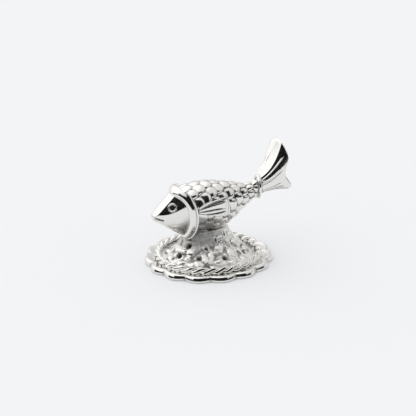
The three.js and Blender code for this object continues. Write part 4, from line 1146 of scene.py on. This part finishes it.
class IDOL_OT_scaled_body(bpy.types.Operator):
    """Make the body with its rows of overlapping scales"""
    bl_idname = "idol.scaled_body"
    bl_label = "Scaled body"
    UNDER_COLLAR = 0.05
    LAST_ROW_SHARE = 0.55
    ROW_TAPER = 1.12
    # A scale's root and free end: rows from its own, and heights over the core
    ROOT = (-0.35, -0.08)
    FREE_END = (1.08, 0.1)
    SCALE_OVERLAP = 1.1
    # Shade painted into the recess under the fins, which is also duller: how strong it is, a point and the
    # slope of its upper edge, and where it ends
    BELLY_SHADE_AND_DULLNESS = 0.65
    BELLY_EDGE = (-3.3, 11.6)
    BELLY_SLOPE = 0.29
    BELLY_SOFTNESS = 0.4
    BELLY_TO = (0.0, 2.4)

    def execute(self, context):
        sizes = context.scene.idol_sizes
        material = tumbled_silver(context.scene.idol_finish)
        relief = mm(sizes.scale_relief)
        angles = even_angles(150, GIRTH_STATION)
        front = collar_station(angles)[None, :] + self.UNDER_COLLAR
        stations = lerp(front, SPINE_LENGTH, np.linspace(0, 1, 110)[:, None])
        core = lofted("scaled_body", skin(stations, angles[None, :], -relief))
        places = self.places(sizes.scales_around, sizes.scale_rows, relief)
        scale = self.scale()
        run_tree(core, coat_tree(), {"Places": places, "Shape": scale, "Roundness": 2, "Material": material})
        fuse(core, voxel=0.09, passes=2)
        finish_piece(core, material, "fish_body", self.belly_shade_and_dullness)
        discard(places, scale)
        return {"FINISHED"}

    def places(self, around, rows, relief):
        """Points for the scales, with the directions and size of each; a row near the tail holds fewer."""
        counts = np.round(around * np.linspace(1, self.LAST_ROW_SHARE, rows)).astype(int)
        row = np.repeat(np.arange(rows), counts)
        column = np.concatenate([np.arange(count) for count in counts])
        angle = 2 * np.pi * (column + 0.5 - (row % 2) / 2) / counts[row]
        front = collar_station(angle) + COLLAR_HALF + SOLDER_GAP

        def station(place):
            share = 1 - (1 - np.clip(place / rows, -0.2, 1)) ** self.ROW_TAPER
            return lerp(front, SPINE_LENGTH, share)

        root, free = (skin(station(row + ahead), angle, height - relief)
                      for ahead, height in (self.ROOT, self.FREE_END))
        middle = station(row + 0.5)
        half = np.pi / counts[row]
        width = np.linalg.norm(skin(middle, angle + half) - skin(middle, angle - half), axis=1)
        along = unit(free - root)
        length = np.linalg.norm(free - root, axis=1)
        out = skin_normal(middle, angle)
        out = unit(out - np.sum(out * along, axis=1, keepdims=True) * along)
        size = np.stack([width * self.SCALE_OVERLAP, length, np.full_like(length, relief)], axis=-1)
        return place_points("scale_places", root, out, along, size)

    def belly_shade_and_dullness(self, points):
        """Shade painted into the recess between the collar, the fins and the mound, which is also duller."""
        edge_x, edge_z = self.BELLY_EDGE
        below_fin = edge_z - self.BELLY_SLOPE * (points[:, 0] - edge_x) - points[:, 2]
        low = smoothstep(below_fin, -self.BELLY_SOFTNESS, self.BELLY_SOFTNESS)
        return self.BELLY_SHADE_AND_DULLNESS * low * (1 - smoothstep(points[:, 0], *self.BELLY_TO))

    def scale(self):
        """A pillowed shield of unit width and length, round at its free end."""
        across = np.linspace(-1, 1, 9)[None, :]
        place = np.array([0, 0.14, 0.28, 0.42, 0.56, 0.7, 0.82, 0.92, 0.98, 1.0])[:, None]
        half = 0.5 * arch(np.clip(place - 0.45, 0, 1) / 0.56, least=0.03)
        half = half * lerp(0.8, 1, smoothstep(place, 0, 0.45))
        crown = np.sqrt(1 - 0.95 * np.abs(across) ** 2.6)
        climb = lerp(0.5, 1, smoothstep(place, 0, 0.55))
        fall = arch(np.clip(place - 0.62, 0, 1) / 0.39, power=2.4, least=0.02)
        top = np.stack([across * half, place + 0 * across, 1.2 * crown * climb * fall - 0.2], axis=-1)
        under = top * [1, 1, 0] + [0, 0, -1.2]
        return sheet_solid("scale", top, under)


class IDOL_OT_pectoral_fins(bpy.types.Operator):
    """Make the ribbed pectoral fins"""
    bl_idname = "idol.pectoral_fins"
    bl_label = "Pectoral fins"
    ROOT_STATION = 9.05
    LENGTH = 7.15
    # The upper and lower edge in degrees from the back at the root, and how far they spread
    UPPER_EDGE = 78
    UPPER_SPREAD = 14.5
    UPPER_BOW = 0.6
    LOWER_EDGE = 88
    LOWER_SPREAD = 21
    LOWER_BOW = 1.2
    END_ROUND = 0.09
    UNDERSIDE = -0.3
    THICKNESS = 0.3
    ROOT_LEAN = 0.15
    FREE_LEAN = 0.5
    PETAL_HEIGHT = 0.16
    PETAL_ENDS = (0.7, 0.88)
    STEP_SHARE = 0.9
    STEP_AT = (0.925, 0.94)
    # How far in its edges are rounded, and about how broad the fin is at both ends and how long
    EDGE_ROUND = 0.22
    ABOUT_BROAD = (2.2, 6.2)
    ABOUT_LONG = 7
    # How bluntly the slits end, and the share of their half width that their walls slope over
    SLIT_BLUNTNESS = 6
    SLIT_WALL = 0.7
    # Each slit's place across the fin at its two ends, the lengths where it starts and ends, its half width
    # and its share of the full depth; the last row is the lower edge, without a slit
    SLITS = (
        (0.19, 0.16, 0.02, 0.82, 0.075, 1.0),
        (0.61, 0.57, 0.05, 0.72, 0.07, 0.8),
        (0.90, 0.72, 0.20, 0.84, 0.08, 0.9),
        (1, 1, 0, 1, 0, 0),
    )

    def execute(self, context):
        material = polished_silver(context.scene.idol_finish)
        along = np.linspace(0, 1, 120)[:, None]
        across = np.linspace(0, 1, 150)[None, :]
        height = self.height(along, across, mm(context.scene.idol_sizes.fin_slit_depth))
        for side, label in ((1, "left"), (-1, "right")):
            near = self.point(along, across, height, side)
            far = self.point(along, across, np.full_like(height, self.UNDERSIDE), side)
            fin = sheet_solid(label + "_ribbed_fin", near, far)
            # A small depth here paints full shade into the slits.
            finish_piece(fin, material, label + "_pectoral_fin", full_shade_depth=0.025)
        return {"FINISHED"}

    def point(self, along, across, out, side):
        """A point over the flank, in the fan of the fin."""
        upper = self.UPPER_EDGE - self.UPPER_SPREAD * np.sin(along * np.pi / 2) ** self.UPPER_BOW
        lower = self.LOWER_EDGE + self.LOWER_SPREAD * along ** self.LOWER_BOW
        shorter = self.END_ROUND * along * (2 * across - 1) ** 2
        station = self.ROOT_STATION + self.LENGTH * along * (1 - shorter)
        angle = side * np.radians(lerp(upper, lower, across))
        return skin(station, angle) + skin_normal(station, angle) * out[..., None]

    def height(self, along, across, depth):
        """A soft leaf with three engraved slits, of which the upper one is the longest and deepest."""
        lean = self.ROOT_LEAN + self.FREE_LEAN * along * (1 - across)
        before, cut, petal = 0 * across, 0, 0
        for first, last, start, end, width, share in self.SLITS:
            reach = np.clip((along - start) / (end - start), 0, 1)
            line = lerp(first, last, reach)
            half = np.maximum(width * np.sqrt(reach * (1 - reach ** self.SLIT_BLUNTNESS)), 1e-6)
            cut = cut + depth * share * smoothstep(1 - np.abs(across - line) / half, 0, self.SLIT_WALL)
            petal = petal + arch((2 * across - before - line) / (line - before), power=2.4)
            before = line
        petal = self.PETAL_HEIGHT * petal * (1 - smoothstep(along, *self.PETAL_ENDS))
        step = 1 - self.STEP_SHARE * smoothstep(along, *self.STEP_AT)
        relief = (self.THICKNESS + petal - cut) * step
        side = np.minimum(across, 1 - across) * lerp(*self.ABOUT_BROAD, along)
        inward = np.minimum(side, (1 - along) * self.ABOUT_LONG)
        return lean + relief * rounded(inward / self.EDGE_ROUND)


class IDOL_OT_tail(bpy.types.Operator):
    """Make the tail's ring and its ribbed two-lobed fin"""
    bl_idname = "idol.tail"
    bl_label = "Tail"
    RING_WIRE_RADIUS = 0.3
    # The fin's free edge from the lower lobe's foot to the upper lobe's tip, from the tail's root
    EDGE = ((6.79, -1.32), (7.67, -0.56), (6.25, 2.23), (7.02, 6.0), (5.75, 9.3), (5.3, 9.75), (4.4, 9.25))
    EDGE_STEPS = 400
    # Places across the fin where its upper lobe starts to lean and where its leading edge folds and bows
    LEAN_FROM = 0.54
    FOLD_AT = 0.87
    FOLD_BOW = 0.07
    LEAN_WIDTH = 1.2
    FOLD_WIDTH = 2.3
    FOLD_ROUND = 1.5
    FOLD_GROWN = 0.3
    ROOT_SINK = 0.1
    # How the fin bows up at its foot, and how much less in its middle and at its tip
    FOOT_RISE = 0.6
    FOOT_ENDS = 0.4
    MIDDLE_SAG = 1.5
    TIP_SAG = 0.25
    HALF_SHEET = 0.32
    HALF_EDGE = 0.1
    # How far in its edges are rounded, and about how broad and long the fin is
    EDGE_ROUND = 0.3
    ABOUT_BROAD = 9
    ABOUT_LONG = 8
    # The share of the fin's length in which its plug in the ring flattens to the sheet
    PLUG_ENDS = 0.16
    # Raised rays with their places and reaches, and engraved lines with their places and depths; widths
    # are shares of the fin's breadth, and both fade out along its length
    RAYS = ((0.72, 0.95), (0.585, 0.82))
    RAY_HEIGHT = 0.16
    RAY_WIDTH = 0.012
    RAY_FADE = 0.2
    LINES = ((0.975, 0.1), (0.92, 0.06), (0.5, 0.14), (0.24, 0.1), (0.12, 0.08))
    LINE_WIDTH = 0.01
    LINE_ENDS = (0.6, 0.85)

    def execute(self, context):
        material = polished_silver(context.scene.idol_finish)
        finish_piece(self.ring(), material, "tail_ring")
        along = np.linspace(0, 1, 110)[:, None]
        across = np.linspace(0, 1, 260)[None, :]
        centre = self.middle(along, across)
        half = self.half_thickness(along, across)[..., None] * [0, -1, 0]
        fin = sheet_solid("ribbed_tail_fin", centre + half, centre - half)
        finish_piece(fin, material, "tail_fin")
        return {"FINISHED"}

    def ring(self):
        """An oval ring of round wire at the tail's root."""
        turn = full_turn(120)[:, None]
        around = full_turn(24)[None, :]
        wire = self.RING_WIRE_RADIUS
        over = SOLDER_GAP + wire + wire * np.cos(around)
        sections = np.stack([SPINE_X[-1] + wire * np.sin(around) + 0 * turn,
                             (TAIL_ROOT_WIDTH / 2 + over) * np.sin(turn),
                             SPINE_Z[-1] + (TAIL_ROOT_DEPTH / 2 + over) * np.cos(turn)], axis=-1)
        return ring_lofted("tail_ring_wire", sections)

    def middle(self, along, across):
        """The middle of the fin's sheet: a leaf folded along its leading edge, its lower lobe upright."""
        along, across = np.broadcast_arrays(along, across)
        root = np.array([SPINE_X[-1], SPINE_Z[-1]])
        edge = smooth_path(root + self.EDGE, self.EDGE_STEPS)
        tip_x, tip_z = (np.interp(across, np.linspace(0, 1, self.EDGE_STEPS), tips) for tips in edge.T)
        x = lerp(root[0] - self.ROOT_SINK, tip_x, along)
        z = lerp(root[1] + TAIL_ROOT_DEPTH / 2 * (2 * across - 1), tip_z, along)
        fold = self.FOLD_AT - self.FOLD_BOW * np.sin(np.pi * along)
        bow = self.FOOT_RISE - self.MIDDLE_SAG * smoothstep(across, 0, self.FOOT_ENDS)
        bow = bow - self.TIP_SAG * smoothstep(across, 2 * fold - 1, 1)
        z = z + bow * np.sin(np.pi * along)
        lean = np.clip((across - self.LEAN_FROM) / (fold - self.LEAN_FROM), 0, 1) ** 2
        lead = 1 - (1 - np.clip((across - fold) / (1 - fold), 0, 1)) ** self.FOLD_ROUND
        lead = lead * smoothstep(along, 0, self.FOLD_GROWN)
        y = along * self.LEAN_WIDTH * (lean - 0.5) + self.FOLD_WIDTH * lead
        return np.stack([x, y, z], axis=-1)

    def half_thickness(self, along, across):
        """Half the sheet's thickness, with raised rays, engraved lines and rounded borders."""
        plug = TAIL_ROOT_WIDTH / 2 * arch(2 * across - 1)
        sheet = self.HALF_SHEET
        for ray, reach in self.RAYS:
            fade = 1 - smoothstep(along, reach - self.RAY_FADE, reach)
            sheet = sheet + self.RAY_HEIGHT * ridge(across, ray, self.RAY_WIDTH) * fade
        for line, deep in self.LINES:
            fade = 1 - smoothstep(along, *self.LINE_ENDS)
            sheet = sheet - deep * ridge(across, line, self.LINE_WIDTH) * fade
        shape = lerp(plug, sheet, smoothstep(along, 0, self.PLUG_ENDS))
        side = np.minimum(across, 1 - across) * self.ABOUT_BROAD
        inward = np.minimum(side, (1 - along) * self.ABOUT_LONG)
        return np.maximum(shape * rounded(inward / self.EDGE_ROUND), self.HALF_EDGE)


class IDOL_PT_panel(bpy.types.Panel):
    """Shows the idol's settings and its pieces"""
    bl_label = "Fish idol"
    bl_idname = "IDOL_PT_panel"
    bl_space_type = "VIEW_3D"
    bl_region_type = "UI"
    bl_category = "Fish idol"

    def draw(self, context):
        for group in (context.scene.idol_sizes, context.scene.idol_finish):
            for key in group.__annotations__:
                self.layout.prop(group, key)
        for operator in OPERATORS:
            self.layout.operator(operator.bl_idname)


OPERATORS = (
    IDOL_OT_stage,
    IDOL_OT_base_plate,
    IDOL_OT_rope_ring,
    IDOL_OT_mound,
    IDOL_OT_head,
    IDOL_OT_eyes,
    IDOL_OT_gill_collar,
    IDOL_OT_scaled_body,
    IDOL_OT_pectoral_fins,
    IDOL_OT_tail,
)
CLASSES = (IdolSizes, IdolFinish, *OPERATORS, IDOL_PT_panel)


def register():
    for cls in CLASSES:
        bpy.utils.register_class(cls)
    bpy.types.Scene.idol_sizes = bpy.props.PointerProperty(type=IdolSizes)
    bpy.types.Scene.idol_finish = bpy.props.PointerProperty(type=IdolFinish)


def unregister():
    del bpy.types.Scene.idol_finish
    del bpy.types.Scene.idol_sizes
    for cls in reversed(CLASSES):
        bpy.utils.unregister_class(cls)


def main():
    register()
    for operator in OPERATORS:
        group, name = operator.bl_idname.split(".")
        getattr(getattr(bpy.ops, group), name)()


if __name__ == "__main__":
    main()
